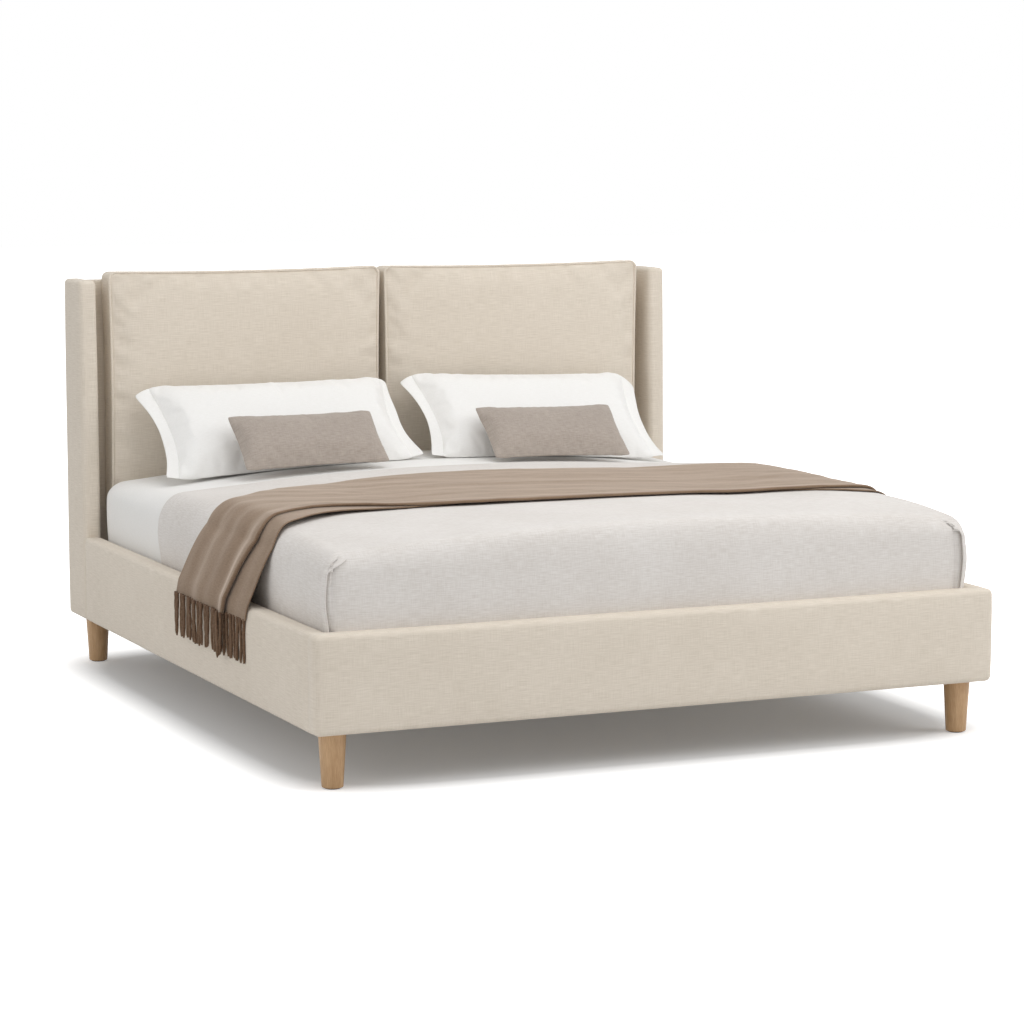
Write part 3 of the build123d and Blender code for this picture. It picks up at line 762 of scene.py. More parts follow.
@dataclass
class HeadboardCushion:
    """Boxed cushion with a crowned front, drawn-in sides and a piped front edge."""
    side: str
    corner: float = 0.022
    back_round: float = 0.012
    seam_round: float = 0.006
    crown: float = 0.024
    room: float = 0.005
    swell: float = 0.085
    draw_in: float = 0.006
    cell: float = 0.016
    held_rim: float = 0.012
    pressure: float = 1.6
    growth: float = 0.022
    cap: float = 0.009
    pucker: float = 0.0090
    pucker_length: float = 0.075
    pucker_start: float = 0.012
    face_wave: float = 0.0025
    side_wave: float = 0.3
    side_swell: float = 0.003
    piping_radius: float = 0.0042
    arc_facets: int = 8
    run_facets: int = 24
    seed: float = 0.0

    def drawn_in(self, x: float, z: float, sx: float, sz: float) -> tuple[float, float]:
        """Draws the sides in between the corners.

        Args:
            x: place across, in metres.
            z: height, in metres.
            sx: place across as a share of the half width.
            sz: height over the middle as a share of the half height.

        Returns:
            The new place across and height.
        """
        return (x - math.copysign(self.draw_in * (1 - min(sz * sz, 1)), sx) * min(abs(sx), 1) ** 3,
                z - math.copysign(self.draw_in * (1 - min(sx * sx, 1)), sz) * min(abs(sz), 1) ** 3)

    def shape(self, co: Vector, front: float, middle: Sequence[float], half: Sequence[float]) -> Point:
        """Soft place of one point of the boxed form.

        Args:
            co: the point on the plain boxed form.
            front: where the front face's plane stands.
            middle: middle of the box.
            half: half sizes of the box.

        Returns:
            The point on the stuffed form.
        """
        sx = (co.x - middle[0]) / half[0]
        sz = (co.z - middle[2]) / half[2]
        x, z = self.drawn_in(co.x, co.z, sx, sz)
        ahead = ease((front + self.seam_round + 0.03 - co.y) / 0.03)
        edge_x = (1 - abs(sx)) * half[0]
        edge_z = (1 - abs(sz)) * half[2]
        rise = (1 - math.exp(-edge_x / self.swell)) * (1 - math.exp(-edge_z / self.swell))
        y = co.y - (self.crown - self.room) * rise * ahead
        y -= self.face_wave * ahead * rise * rough((co.x, self.seed, co.z), 0.20, self.seed)
        across = rough((0.6 * edge_x, self.seed, co.z + 0.5 * edge_x), 0.040, self.seed)
        along = rough((co.x + 0.4 * edge_z, self.seed, 0.6 * edge_z), 0.050, self.seed)
        pull = across * math.exp(-edge_x / self.pucker_length) * min(edge_x / self.pucker_start, 1)
        pull += 0.6 * along * math.exp(-edge_z / self.pucker_length) * min(edge_z / self.pucker_start, 1)
        y -= self.pucker * ahead * pull
        bulge = max(0.0, 1 - ((co.y - middle[1]) / half[1]) ** 2)
        side, top = (
            self.side_swell * bulge * abs(share) ** 12 * (1 + self.side_wave * rough(co, 0.16, seed))
            for share, seed in ((sx, 5), (sz, 6)))
        x += math.copysign(side, sx)
        z += math.copysign(top, sz)
        return x, y, z

    def build(self) -> None:
        """Models the cushion and its piping."""
        node = self.side + "_headboard_cushion"
        low, high = (list(corner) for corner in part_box(node))
        front = low[1] + self.crown + 0.001
        low[1] = front
        middle, half = centred(low, high)
        piece = new_cube(node + "_cover", low, high)
        bevel_edges(piece, self.corner, 6, lambda a, b: abs(a.x - b.x) < NEAR and abs(a.z - b.z) < NEAR)
        bevel_edges(piece, self.back_round, 4, lambda a, b: all(p.y > high[1] - NEAR for p in (a, b)))
        bevel_edges(piece, self.seam_round, 3, lambda a, b: all(p.y < low[1] + NEAR for p in (a, b)))
        cut_through(piece, 0, steps(low[0], high[0], self.cell))
        cut_through(piece, 2, steps(low[2], high[2], self.cell))
        cut_through(piece, 1, steps(low[1] + 0.02, high[1], 0.02))
        held = [
            vertex.index for vertex in piece.data.vertices
            if vertex.co.y > front + NEAR or abs(vertex.co.x - middle[0]) > half[0] - self.held_rim
            or abs(vertex.co.z - middle[2]) > half[2] - self.held_rim]
        reshape(piece, lambda co: self.shape(co, front, middle, half))
        inflate(piece, held, self.pressure, self.growth, self.cap)
        lay_cloth(piece)
        smooth(piece, 60)
        own(piece, node, "upholstery", UPHOLSTERY, node)
        self.pipe(node, front, middle, half)

    def pipe(self, node: str, front: float, middle: Sequence[float], half: Sequence[float]) -> None:
        """Lays the piped cord round the front edge.

        Args:
            node: the cushion's node.
            front: where the front face's plane stands.
            middle: middle of the box.
            half: half sizes of the box.
        """
        radius = self.corner + self.piping_radius * 0.45
        corners = [(1, 1), (-1, 1), (-1, -1), (1, -1)]

        def on_arc(quarter: int, degrees: float) -> tuple[float, float]:
            """Place on the arc round one corner, across and up from the middle.

            Args:
                quarter: number of the corner.
                degrees: angle on the arc.

            Returns:
                The place.
            """
            cx, cz = corners[quarter % 4]
            angle = math.radians(degrees)
            return (cx * (half[0] - self.corner) + radius * math.cos(angle),
                    cz * (half[2] - self.corner) + radius * math.sin(angle))

        route = []
        for quarter in range(4):
            route += [on_arc(quarter, 90 * (quarter + n / self.arc_facets))
                      for n in range(self.arc_facets + 1)]
            start, stop = route[-1], on_arc(quarter + 1, 90 * (quarter + 1))
            route += [tuple(a + (b - a) * n / self.run_facets for a, b in zip(start, stop))
                      for n in range(1, self.run_facets)]
        curve = bpy.data.curves.new(node + "_piping_route", "CURVE")
        curve.dimensions = "3D"
        curve.bevel_depth = self.piping_radius
        curve.bevel_resolution = 3
        spline = curve.splines.new("POLY")
        spline.use_cyclic_u = True
        spline.points.add(len(route) - 1)
        for point, (x, z) in zip(spline.points, route):
            x, z = self.drawn_in(middle[0] + x, middle[2] + z, x / half[0], z / half[2])
            place = Vector((x, front + self.piping_radius * 0.4, z))
            place.y += 0.0006 * rough(place, 0.05, self.seed)
            point.co = (*place, 1)
        holder = bpy.data.objects.new(node + "_welt", curve)
        bpy.context.collection.objects.link(holder)
        pick(holder)
        bpy.ops.object.convert(target="MESH")
        piece = bpy.context.active_object
        lay_cloth(piece)
        smooth(piece, 80)
        own(piece, node, "upholstery", UPHOLSTERY, node + "_piping")


# Mattress, fitted sheet and coverlet

@dataclass(frozen=True)
class BedForm:
    """The mattress's soft outline, which the linen over it follows at its own offset."""
    low: Point
    high: Point
    crown: float = 0.0402
    edge: float = 0.043
    edge_growth: float = 0.65
    tuck: float = 0.012
    left_dome: float = 0.018
    right_dome: float = 0.034
    dome_middle_share: float = 0.10
    head_rise: float = 0.003
    head_dip: float = 0.010
    # Where the dome is highest, and its lengths from there to the foot and to the head.
    dome_y: float = -0.20
    dome_lengths: tuple[float, float] = (0.90, 0.60)
    # Steepness, in degrees, at which a cloth leaves the edge and at which it reaches the rail.
    leave_angle: float = 66.0
    reach_angle: float = 86.0
    fall_sag: float = 0.010

    def rounder(self, y: float) -> float:
        """How much larger the edge radius is than at the foot, at a place along the bed."""
        return 1 + self.edge_growth * ease((y + 0.95) / 0.40)

    def rise(self, x: float, y: float) -> float:
        """Rise of the top over the plain box's top: a crown across and a low dome lengthwise.

        Args:
            x: place across the bed.
            y: place along it.

        Returns:
            The rise, in metres.
        """
        share = (y - self.dome_y) / self.dome_lengths[y >= self.dome_y]
        dome = self.left_dome + (self.right_dome - self.left_dome) * ease((x + 0.45) / 0.90)
        dome *= max(0.0, 1 - abs(share) ** 3)
        side = ease((abs(x) - 0.45) / 0.45)
        weight = self.dome_middle_share + (1 - self.dome_middle_share) * side
        across = max(0.0, 1 - (x / (self.high[0] - 0.062)) ** 2)
        fuller = self.head_rise * across * math.exp(-((y - 0.60) / 0.28) ** 2)
        return self.crown * across + dome * weight + fuller - self.head_dip * side * ease((y - 0.35) / 0.25)

    def top(self, x: float, y: float, offset: float) -> float:
        """Height of a layer's top over a place away from the edges."""
        return self.high[2] - self.crown + offset + self.rise(x, y)

    def shaped(self, co: Vector, low: Sequence[float], high: Sequence[float], radius: float,
               foot_bow: float = 0.0, bulge: float = 0.0) -> Point:
        """Rounds, crowns and tucks one point of a plain box.

        Args:
            co: the point on the box.
            low: lowest corner of the box.
            high: highest corner of the box, without the crown.
            radius: edge radius at the foot.
            foot_bow: how far the foot face bows out.
            bulge: how far the sides bulge just above the rails.

        Returns:
            The point on the soft form.
        """
        radius += self.edge * (self.rounder(co.y) - 1)
        inner = [min(max(co.x, low[0] + radius), high[0] - radius),
                 min(max(co.y, low[1] + radius), high[1] - radius),
                 min(co.z, high[2] - radius)]
        away = Vector((co.x - inner[0], co.y - inner[1], co.z - inner[2]))
        if away.length > 1e-9:
            away *= radius / away.length
        flat = math.hypot(away.x, away.y)
        if flat > 1e-9 and abs(away.x) > 1e-9 and abs(away.y) > 1e-9:
            power = 3.8 + 0.8 * ease((high[2] - 0.5 * radius - co.z) / 0.10)
            squarer = ((abs(away.x) / flat) ** power + (abs(away.y) / flat) ** power) ** (-1 / power)
            away.x *= squarer
            away.y *= squarer
        x, y, z = (i + a for i, a in zip(inner, away))
        height = min(max((z - low[2]) / (high[2] - low[2]), 0.0), 1.0)
        z += self.rise(x, y) * ease((z - (high[2] - radius)) / radius)
        below = min(max((high[2] - radius - z) / (high[2] - radius - low[2]), 0.0), 1.0)
        x -= math.copysign(self.tuck * below ** 2, x)
        x += math.copysign(bulge * math.exp(-((z - 0.50) / 0.055) ** 2) * (abs(x) / high[0]) ** 10, x)
        across = 1 - min((abs(x) / high[0]) ** 4, 1.0)
        facing = ease((low[1] + radius - co.y) / radius)
        y -= foot_bow * facing * math.sin(math.pi * height) * (0.35 + 0.65 * across)
        return x, y, z

    def over(self, reach: float, y: float, offset: float, rail: tuple[float, float]) -> tuple[float, float]:
        """Where a cloth laid across the bed runs, in x and z.

        Args:
            reach: distance across from the middle, over the top and down the side.
            y: place along the bed.
            offset: how far the cloth stands off the mattress.
            rail: x and z of the rail's edge, which the cloth falls to and hangs from.

        Returns:
            The place in x and z.
        """
        edge_x = self.high[0] + offset
        edge_z = self.high[2] - self.crown + offset
        foot_radius = self.edge + offset
        radius = self.edge * self.rounder(y) + offset
        steep = math.radians(self.leave_angle)
        leave = edge_x + radius - radius / math.tan(steep)
        corner = [-edge_x, self.low[1] - 1, self.low[2]], [edge_x, self.high[1] + 1, edge_z]
        far = abs(reach)
        if far <= leave:
            flat = Vector((min(far, edge_x), y, edge_z - max(0.0, far - edge_x)))
            x, _, z = self.shaped(flat, *corner, foot_radius)
            return math.copysign(x, reach), z
        x, _, z = self.shaped(Vector((edge_x, y, edge_z - (leave - edge_x))), *corner, foot_radius)
        fall = math.hypot(rail[0] - x, z - rail[1])
        share = (far - leave) / fall
        if share > 1:
            return math.copysign(rail[0], reach), rail[1] - (far - leave - fall)
        sag = self.fall_sag * math.sin(math.pi * share) * (1 - 0.5 * share)
        angle = steep + (math.radians(self.reach_angle) - steep) * ease(share)
        return (math.copysign(x + (rail[0] - x) * share + sag * math.sin(angle), reach),
                z + (rail[1] - z) * share + sag * math.cos(angle))


@dataclass
class BedLinen:
    """Mattress, fitted sheet and coverlet, one over the other."""
    sheet_outer: float = 0.0020
    sheet_thickness: float = 0.0016
    coverlet_outer: float = 0.0078
    coverlet_thickness: float = 0.0042
    cell: float = 0.035
    fine: float = 0.006
    foot_bow: float = 0.012
    inner_bow: float = 0.7
    fold_edge: float = 0.962
    fold_width: float = 0.045
    fold_back: tuple[float, float] = (0.0, 0.026)
    fold_stand: float = 0.0100
    groove_depth: float = 0.0060
    fold_thickness: float = 0.0032
    side_bulge: float = 0.008
    head_edge_bow: float = 0.045

    def form(self) -> BedForm:
        """The soft form between the mattress node's corners."""
        low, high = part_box("mattress")
        return BedForm(tuple(low), tuple(high))

    def plain(self, name: str, form: BedForm, offset: float, y_low: float, y_high: float,
              dense_foot: bool = False) -> tuple[Piece, list[float], list[float]]:
        """Cuts a box, fine near its rounded edges, as the start of one layer.

        Args:
            name: name of the piece.
            form: the mattress's form.
            offset: how far the layer stands off it.
            y_low: foot end of the box.
            y_high: head end of the box.
            dense_foot: whether the foot corners are cut finely for folds.

        Returns:
            The piece and the box's corners.
        """
        low = [form.low[0] - offset, y_low, form.low[2]]
        high = [form.high[0] + offset, y_high, form.high[2] - form.crown + offset]
        piece = new_cube(name, low, high)
        spacing = self.fine if dense_foot else 2 * self.fine
        for axis in range(3):
            radius = form.edge * (1 if axis == 1 else 1 + form.edge_growth) + offset
            inner_low = low[axis] + (radius if axis < 2 else 0)
            inner_high = high[axis] - radius
            places = steps(inner_low, inner_high, self.cell) + [inner_high]
            places += steps(inner_high, high[axis], spacing)
            if axis < 2:
                places += [inner_low] + steps(low[axis], inner_low, spacing)
            cut_through(piece, axis, places)
        return piece, low, high

    def build(self) -> None:
        """Builds the three layers."""
        form = self.form()
        piece, low, high = self.plain("mattress_ticking", form, 0.0, form.low[1], form.high[1])
        reshape(piece, lambda co: form.shaped(co, low, high, form.edge, self.foot_bow * self.inner_bow))
        lay_cloth(piece)
        smooth(piece)
        own(piece, Body.MATTRESS.value, "ticking", TICKING, "mattress")
        self.build_sheet(form)
        self.build_coverlet(form)

    def build_sheet(self, form: BedForm) -> None:
        """Stretches the fitted sheet over the mattress.

        Args:
            form: the mattress's form.
        """
        offset = self.sheet_outer
        piece, low, high = self.plain(
            "fitted_sheet_cloth", form, offset, form.low[1] - offset, form.high[1] + offset)
        drop_faces(piece, lambda middle, normal: normal.z < -0.9)

        def lay(co: Vector) -> Point:
            """Place on the sheet, with shallow pulls on its sides.

            Args:
                co: the point on the plain box.

            Returns:
                Its place on the sheet.
            """
            x, y, z = form.shaped(co, low, high, form.edge + offset, self.foot_bow * self.inner_bow)
            side = ease((high[2] - form.edge - z) / 0.05)
            x += math.copysign(0.0012 * side * rough((0, y, z * 0.35), 0.07, 2.0), x)
            z += 0.0008 * (1 - side) * rough((x, y, 0), 0.12, 4.0)
            return x, y, z

        reshape(piece, lay)
        modify(piece, "SOLIDIFY", thickness=self.sheet_thickness, offset=-1)
        lay_cloth(piece)
        smooth(piece)
        own(piece, Body.MATTRESS.value, "sheet", PERCALE, "fitted_sheet")

    def groove(self, place: Point, low: Sequence[float]) -> float:
        """How far the coverlet dips beside the folded corner.

        Args:
            place: the point on the coverlet.
            low: lowest corner of its plain box.

        Returns:
            The dip, in metres.
        """
        x, y, z = place
        past = self.fold_edge - self.fold_back[x > 0] - 0.040 * ease((z - 0.585) / 0.045) - abs(x)
        if past < 0 or y > low[1] + 0.06:
            return 0.0
        return self.groove_depth * math.exp(-past / 0.010) * (1 - ease((z - 0.605) / 0.035))

    def build_folds(self, lay: Callable[[Vector], Point], low: Sequence[float],
                    high: Sequence[float]) -> list[Piece]:
        """Models the folded corners' free edges, which stand a little off the foot of the coverlet.

        Args:
            lay: place on the coverlet for a point of its plain box.
            low: lowest corner of the plain box.
            high: highest corner of the plain box.

        Returns:
            One flap for each foot corner.
        """
        flaps = []
        bottom, top = 0.400, high[2] - 0.004
        for side in (-1, 1):
            def on_box(s: float, z: float) -> Vector:
                """Place on the plain box, round its corner from the flap's free edge.

                Args:
                    s: distance from the free edge.
                    z: height.

                Returns:
                    The point.
                """
                back = self.fold_back[side > 0]
                bend = back + (0.058 - back) * ease((z - top + 0.050) / 0.050)
                if s <= bend:
                    return Vector((side * (high[0] - bend + s), low[1], z))
                return Vector((side * high[0], low[1] + s - bend, z))

            def place(u: float, v: float) -> Point:
                """Place on the flap, which stands off most at its free edge.

                Args:
                    u: the first share.
                    v: the second share.

                Returns:
                    The point.
                """
                z = bottom + (top - bottom) * v
                s = self.fold_width * u
                here = Vector(lay(on_box(s, z)))
                ahead = Vector(lay(on_box(s + 0.003, z))) - Vector(lay(on_box(max(s - 0.003, 0.0), z)))
                above = Vector(lay(on_box(s, z + 0.003))) - Vector(lay(on_box(s, z - 0.003)))
                out = ahead.cross(above).normalized() * side
                free = 1 - ease((v - 0.80) / 0.20)
                stand = self.fold_stand * (1 - u) ** 1.5 * (0.25 + 0.75 * free) + 0.0006 - 0.0035 * u
                return tuple(here + out * stand)

            flap = new_grid(f"coverlet_fold_{'left' if side < 0 else 'right'}", 10, 44, place,
                            lambda u, v: (self.fold_width * u, (top - bottom) * v))
            modify(flap, "SOLIDIFY", thickness=self.fold_thickness, offset=0)
            modify(flap, "BEVEL", width=0.0008, segments=2, limit_method="ANGLE",
                   angle_limit=math.radians(60))
            smooth(flap, 70)
            own(flap, Body.MATTRESS.value, "coverlet", COVERLET)
            flaps.append(flap)
        return flaps

    def build_coverlet(self, form: BedForm) -> None:
        """Lays the coverlet, tucked in at the sides and foot, with folded foot corners.

        Args:
            form: the mattress's form.
        """
        offset = self.coverlet_outer
        _, edge_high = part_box("coverlet")
        foot = form.low[1] - offset
        piece, low, high = self.plain("coverlet_cloth", form, offset, foot, edge_high[1] + form.edge,
                                      dense_foot=True)
        radius = form.edge + offset
        head_edge = edge_high[1]
        drop_faces(piece, lambda middle, normal: normal.z < -0.9 or normal.y > 0.9)

        def lay(co: Vector) -> Point:
            """Place on the coverlet, with its head edge, pulls and shallow waves.

            Args:
                co: the point on the plain box.

            Returns:
                Its place on the coverlet.
            """
            longer = [high[0], high[1] + 1.0, high[2]]
            share = (co.y - low[1]) / (high[1] - low[1])
            edge_y = head_edge - 0.030 + self.head_edge_bow * (1 - ease((abs(co.x) - 0.25) / 0.65))
            span = (edge_y - low[1] - radius) / (high[1] - low[1] - radius)
            beyond = co.y - low[1] - radius
            flat = Vector((co.x, low[1] + radius + beyond * span if beyond > 0 else co.y, co.z))
            x, y, z = form.shaped(flat, low, longer, radius, self.foot_bow, self.side_bulge)
            dip = self.groove((x, y, z), low)
            side = ease((abs(co.x) - high[0] + radius) / radius)
            facing = ease((low[1] + radius - co.y) / radius)
            below = ease((high[2] - 0.4 * radius - z) / 0.08)
            pull = 0.0016 * side * below * rough((0, y + 0.35 * z, z * 0.3), 0.055, 1.0)
            pull += 0.0030 * side * below * rough((0, y + 0.2 * z, z * 0.4), 0.21, 3.0)
            x += math.copysign(pull, x)
            y += dip * facing
            y -= 0.0016 * facing * rough((x, 0, z * 0.5), 0.16, 7.0)
            wander = 0.005 * rough((x, 0, z), 0.25, 8.0) * ease(share * 3 - 2)
            z += 0.0015 * (1 - side) * rough((x, y, 0), 0.20, 11.0) * (1 - facing)
            return x, y + wander, z

        reshape(piece, lay)
        modify(piece, "SOLIDIFY", thickness=self.coverlet_thickness, offset=-1)
        lay_cloth(piece)
        smooth(piece, 65)
        own(piece, Body.MATTRESS.value, "coverlet", COVERLET, "coverlet")
        flaps = self.build_folds(lay, low, high)


# Throw

@dataclass(frozen=True)
class Spread:
    """Where the throw's edges lie along the bed, at one distance across it, all in metres."""
    reach: float
    head: float
    fold: float
    foot: float


@dataclass
class Throw:
    """Wool throw: folded at its head edge, rolled under at its upper foot edge, and fringed."""
    form: BedForm
    spreads: tuple[Spread, ...] = (
        Spread(-1.235, -0.045, -0.468, -0.612),
        Spread(-1.180, -0.070, -0.492, -0.634),
        Spread(-1.120, -0.092, -0.518, -0.652),
        Spread(-1.050, -0.112, -0.542, -0.660),
        Spread(-0.985, -0.132, -0.552, -0.658),
        Spread(-0.915, -0.146, -0.532, -0.636),
        Spread(-0.850, -0.116, -0.493, -0.594),
        Spread(-0.780, -0.062, -0.463, -0.548),
        Spread(-0.700, -0.002, -0.454, -0.514),
        Spread(-0.600, 0.056, -0.466, -0.498),
        Spread(-0.460, 0.114, -0.500, -0.496),
        Spread(-0.300, 0.138, -0.548, -0.512),
        Spread(-0.080, 0.134, -0.588, -0.546),
        Spread(0.160, 0.118, -0.592, -0.550),
        Spread(0.400, 0.104, -0.580, -0.540),
        Spread(0.600, 0.084, -0.590, -0.566),
        Spread(0.740, 0.064, -0.616, -0.618),
        Spread(0.860, 0.050, -0.628, -0.668),
        Spread(0.970, 0.048, -0.608, -0.684),
        Spread(1.100, 0.050, -0.560, -0.670),
        Spread(1.235, 0.045, -0.500, -0.640),
    )
    thickness: float = 0.0034
    rail_gap: float = 0.0035
    stand_off: float = 0.0088
    upper_height: float = 0.0082
    rolled_height: float = 0.0120
    return_height: float = 0.0044
    return_width: float = 0.055
    turn_share: float = 0.018
    # Distance across at which the cloth starts to fall, and the length over which it turns down.
    fall_start: float = 0.90
    fall_turn: float = 0.16
    furrow: float = 0.011
    cells_across: int = 240
    cells_wide: int = 190
    strand_pitch: float = 0.0170
    strand_length: float = 0.126
    strand_radius: float = 0.0058

    def build(self) -> None:
        """Lays the cloth and hangs its fringe."""
        low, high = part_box("left_rail_cover")
        rail = (abs(low[0]) + self.rail_gap, high[2] + 0.002)
        reaches = [spread.reach for spread in self.spreads]
        head_at, fold_at, foot_at = (
            flowing(reaches, [getattr(spread, edge) for spread in self.spreads])
            for edge in ("head", "fold", "foot"))
        half = reaches[-1]
        widest = max(spread.head - spread.foot for spread in self.spreads)
        upper = max(spread.head - spread.fold for spread in self.spreads)
        width = widest + upper + self.return_width
        lower_end = widest / width
        upper_end = lower_end + upper / width

        bend = self.turn_share

        def section(reach: float, v: float) -> tuple[float, float]:
            """Place along the bed and height over the lowest layer, at a share of the cloth's width.

            Args:
                reach: distance across the bed from the middle.
                v: share of the cloth's width.

            Returns:
                The place and the height.
            """
            head, fold, foot = head_at(reach), fold_at(reach), foot_at(reach)
            if v < lower_end - bend:
                return foot + (head - foot) * v / (lower_end - bend), 0.0
            if v < lower_end + bend:
                angle = math.pi * (v - lower_end + bend) / (2 * bend)
                lift = self.upper_height / 2
                return head + lift * math.sin(angle), lift * (1 - math.cos(angle))
            if v < upper_end - bend:
                share = (v - lower_end - bend) / (upper_end - lower_end - 2 * bend)
                y = head + (fold - head) * share
                climb = ease((fold + 0.075 - y) / 0.060)
                return y, self.upper_height + (self.rolled_height - self.upper_height) * climb
            if v < upper_end + bend:
                angle = math.pi * (v - upper_end + bend) / (2 * bend)
                radius = (self.rolled_height - self.return_height) / 2
                return fold - radius * math.sin(angle), self.return_height + radius * (1 + math.cos(angle))
            share = (v - upper_end - bend) / (1 - upper_end - bend)
            return fold + self.return_width * share, self.return_height

        def place(u: float, v: float) -> Point:
            """Place on the cloth, at shares of its length and of its folded width.

            Args:
                u: the first share.
                v: the second share.

            Returns:
                The point.
            """
            reach = half * (2 * u - 1)
            y, height = section(reach, v)
            fall = ease((abs(reach) - self.fall_start) / self.fall_turn)
            x, z = self.form.over(reach, y, self.stand_off, rail)
            before, after = (self.form.over(reach + d, y, self.stand_off, rail) for d in (-0.004, 0.004))
            out_x, out_z = before[1] - after[1], after[0] - before[0]
            size = math.hypot(out_x, out_z)
            across = (y - foot_at(reach)) / (head_at(reach) - foot_at(reach))
            out = height * (1 + 0.3 * fall)
            upper_share = min(height / 0.006, 1)
            out += self.furrow * fall * self.furrows(across, reach) * (0.45 + 0.55 * upper_share)
            out += self.creases(reach, y, fall) * (0.35 + 0.65 * upper_share)
            y += 0.002 * rough((reach, y * 0.3, 0), 0.30, 13.0)
            return x + out_x / size * out, y, z + out_z / size * out

        cloth = new_grid("throw_cloth", self.cells_across, self.cells_wide, place,
                         lambda u, v: (2 * half * u, width * v))
        modify(cloth, "SOLIDIFY", thickness=self.thickness, offset=1)
        modify(cloth, "BEVEL", width=self.thickness * 0.4, segments=2, limit_method="ANGLE",
               angle_limit=math.radians(60))
        smooth(cloth, 70)
        own(cloth, Body.THROW.value, "throw", WOOL, "throw")
        fringe = self.build_fringe(place, lower_end, upper_end)

    def furrows(self, across: float, reach: float) -> float:
        """Soft folds down the falling cloth.

        Args:
            across: share of the way from the foot edge to the head edge.
            reach: distance across the bed from the middle.

        Returns:
            The height, from 0 to about 1.
        """
        shift = 0.10 * math.sin(5 * reach)
        first = 0.5 - 0.5 * math.cos(2 * math.pi * (2.3 * across + shift))
        second = 0.5 - 0.5 * math.cos(2 * math.pi * (4.7 * across - 1.5 * shift + 0.3))
        uneven = 0.75 + 0.45 * rough((reach, across, 0), 0.30, 17.0)
        return uneven * (0.62 * first ** 0.8 + 0.38 * second)

    def creases(self, reach: float, y: float, fall: float) -> float:
        """Low wrinkles that run across the bed.

        Args:
            reach: distance across the bed from the middle.
            y: place along the bed.
            fall: 1 on the hanging part and 0 on the bed.

        Returns:
            The height, from 0 to a few millimetres.
        """
        slant = y + 0.16 * reach
        long = rough((reach * 0.22, slant, 0), 0.085, 21.0)
        short = rough((reach * 0.55, slant, 0), 0.040, 27.0)
        return max(0.0, 0.0016 + (1 - 0.5 * fall) * (0.0030 * long + 0.0011 * short))

    def strand(self, root: Vector, length: float, lean: float, turn: float, name: str) -> Piece:
        """One twisted strand of fringe that hangs from the hem.

        Args:
            root: where the strand leaves the hem.
            length: length of the strand, in metres.
            lean: sideways lean of its end, in metres.
            turn: start angle of its twist.
            name: name of the piece.

        Returns:
            The strand.
        """
        def place(u: float, v: float) -> Point:
            """Place on the strand, at shares of its round and of its length.

            Args:
                u: the first share.
                v: the second share.

            Returns:
                The point.
            """
            angle = 2 * math.pi * u + turn
            two_ply = 0.72 + 0.28 * abs(math.cos(angle - turn - 9.5 * v))
            knot = 0.35 * math.exp(-((v - 0.05) / 0.04) ** 2)
            end = 1 - 0.45 * ease((v - 0.94) / 0.06)
            radius = self.strand_radius * two_ply * (0.90 + knot) * end
            sway = lean * v ** 1.5 + 0.0030 * math.sin(5 * v + turn)
            return (root.x + radius * math.cos(angle) * 0.9,
                    root.y + radius * math.sin(angle) + sway,
                    root.z - length * v)

        round_it = 2 * math.pi * self.strand_radius
        return new_grid(name, 8, 12, place, lambda u, v: (round_it * u, length * v))

    def build_fringe(self, place: Callable[[float, float], Point], lower_end: float,
                     upper_end: float) -> Piece:
        """Hangs a row of strands along the hem of each layer at both ends.

        Args:
            place: point of the cloth for shares of its length and of its folded width.
            lower_end: share of the width where the lower layer ends.
            upper_end: share of the width where the upper layer ends.

        Returns:
            The fringe.
        """
        strands = []
        for side, u in ((-1, 0.0), (1, 1.0)):
            for first, last, shown in ((0.0, lower_end, 0.42), (lower_end, upper_end, 1.0)):
                count = round(abs(place(u, last - 0.02)[1] - place(u, first + 0.02)[1]) / self.strand_pitch)
                for n in range(count):
                    share = (n + 0.5) / count
                    if share > shown:
                        break
                    root = Vector(place(u, first + (last - first) * share))
                    drift = rough((n * 0.71, side, first), 0.5, 37.0)
                    root.x += side * self.strand_radius * (0.2 + 0.5 * (n % 3))
                    root.y += 0.005 * drift
                    root.z += 0.004
                    uneven = rough((n * 0.37, side, last), 0.5, 31.0)
                    length = self.strand_length * (0.98 + 0.09 * uneven)
                    lean = 0.036 * rough((n // 2 * 1.37, side, first), 0.5, 43.0)
                    lean -= 0.0060 * (n % 2 - 0.5)
                    strands.append(self.strand(root, length, lean, 1.7 * n, f"strand_{len(strands)}"))
        fringe = joined("throw_fringe_strands", strands)
        with editing(fringe, Part.VERTEX):
            bpy.ops.mesh.select_all(action="SELECT")
            bpy.ops.mesh.remove_doubles(threshold=NEAR)
            bpy.ops.mesh.select_all(action="DESELECT")
            bpy.ops.mesh.select_non_manifold(extend=False)
            bpy.ops.mesh.fill_holes(sides=10)
        face_outward(fringe)
        smooth(fringe, 80)
        # The fringe's yarn carries painted shade: it is darker all over than the throw's yarn.
        own(fringe, Body.THROW.value, "throw", SHADED_FRINGE_YARN, "throw_fringe")
        return fringe


# Pillows and small cushions

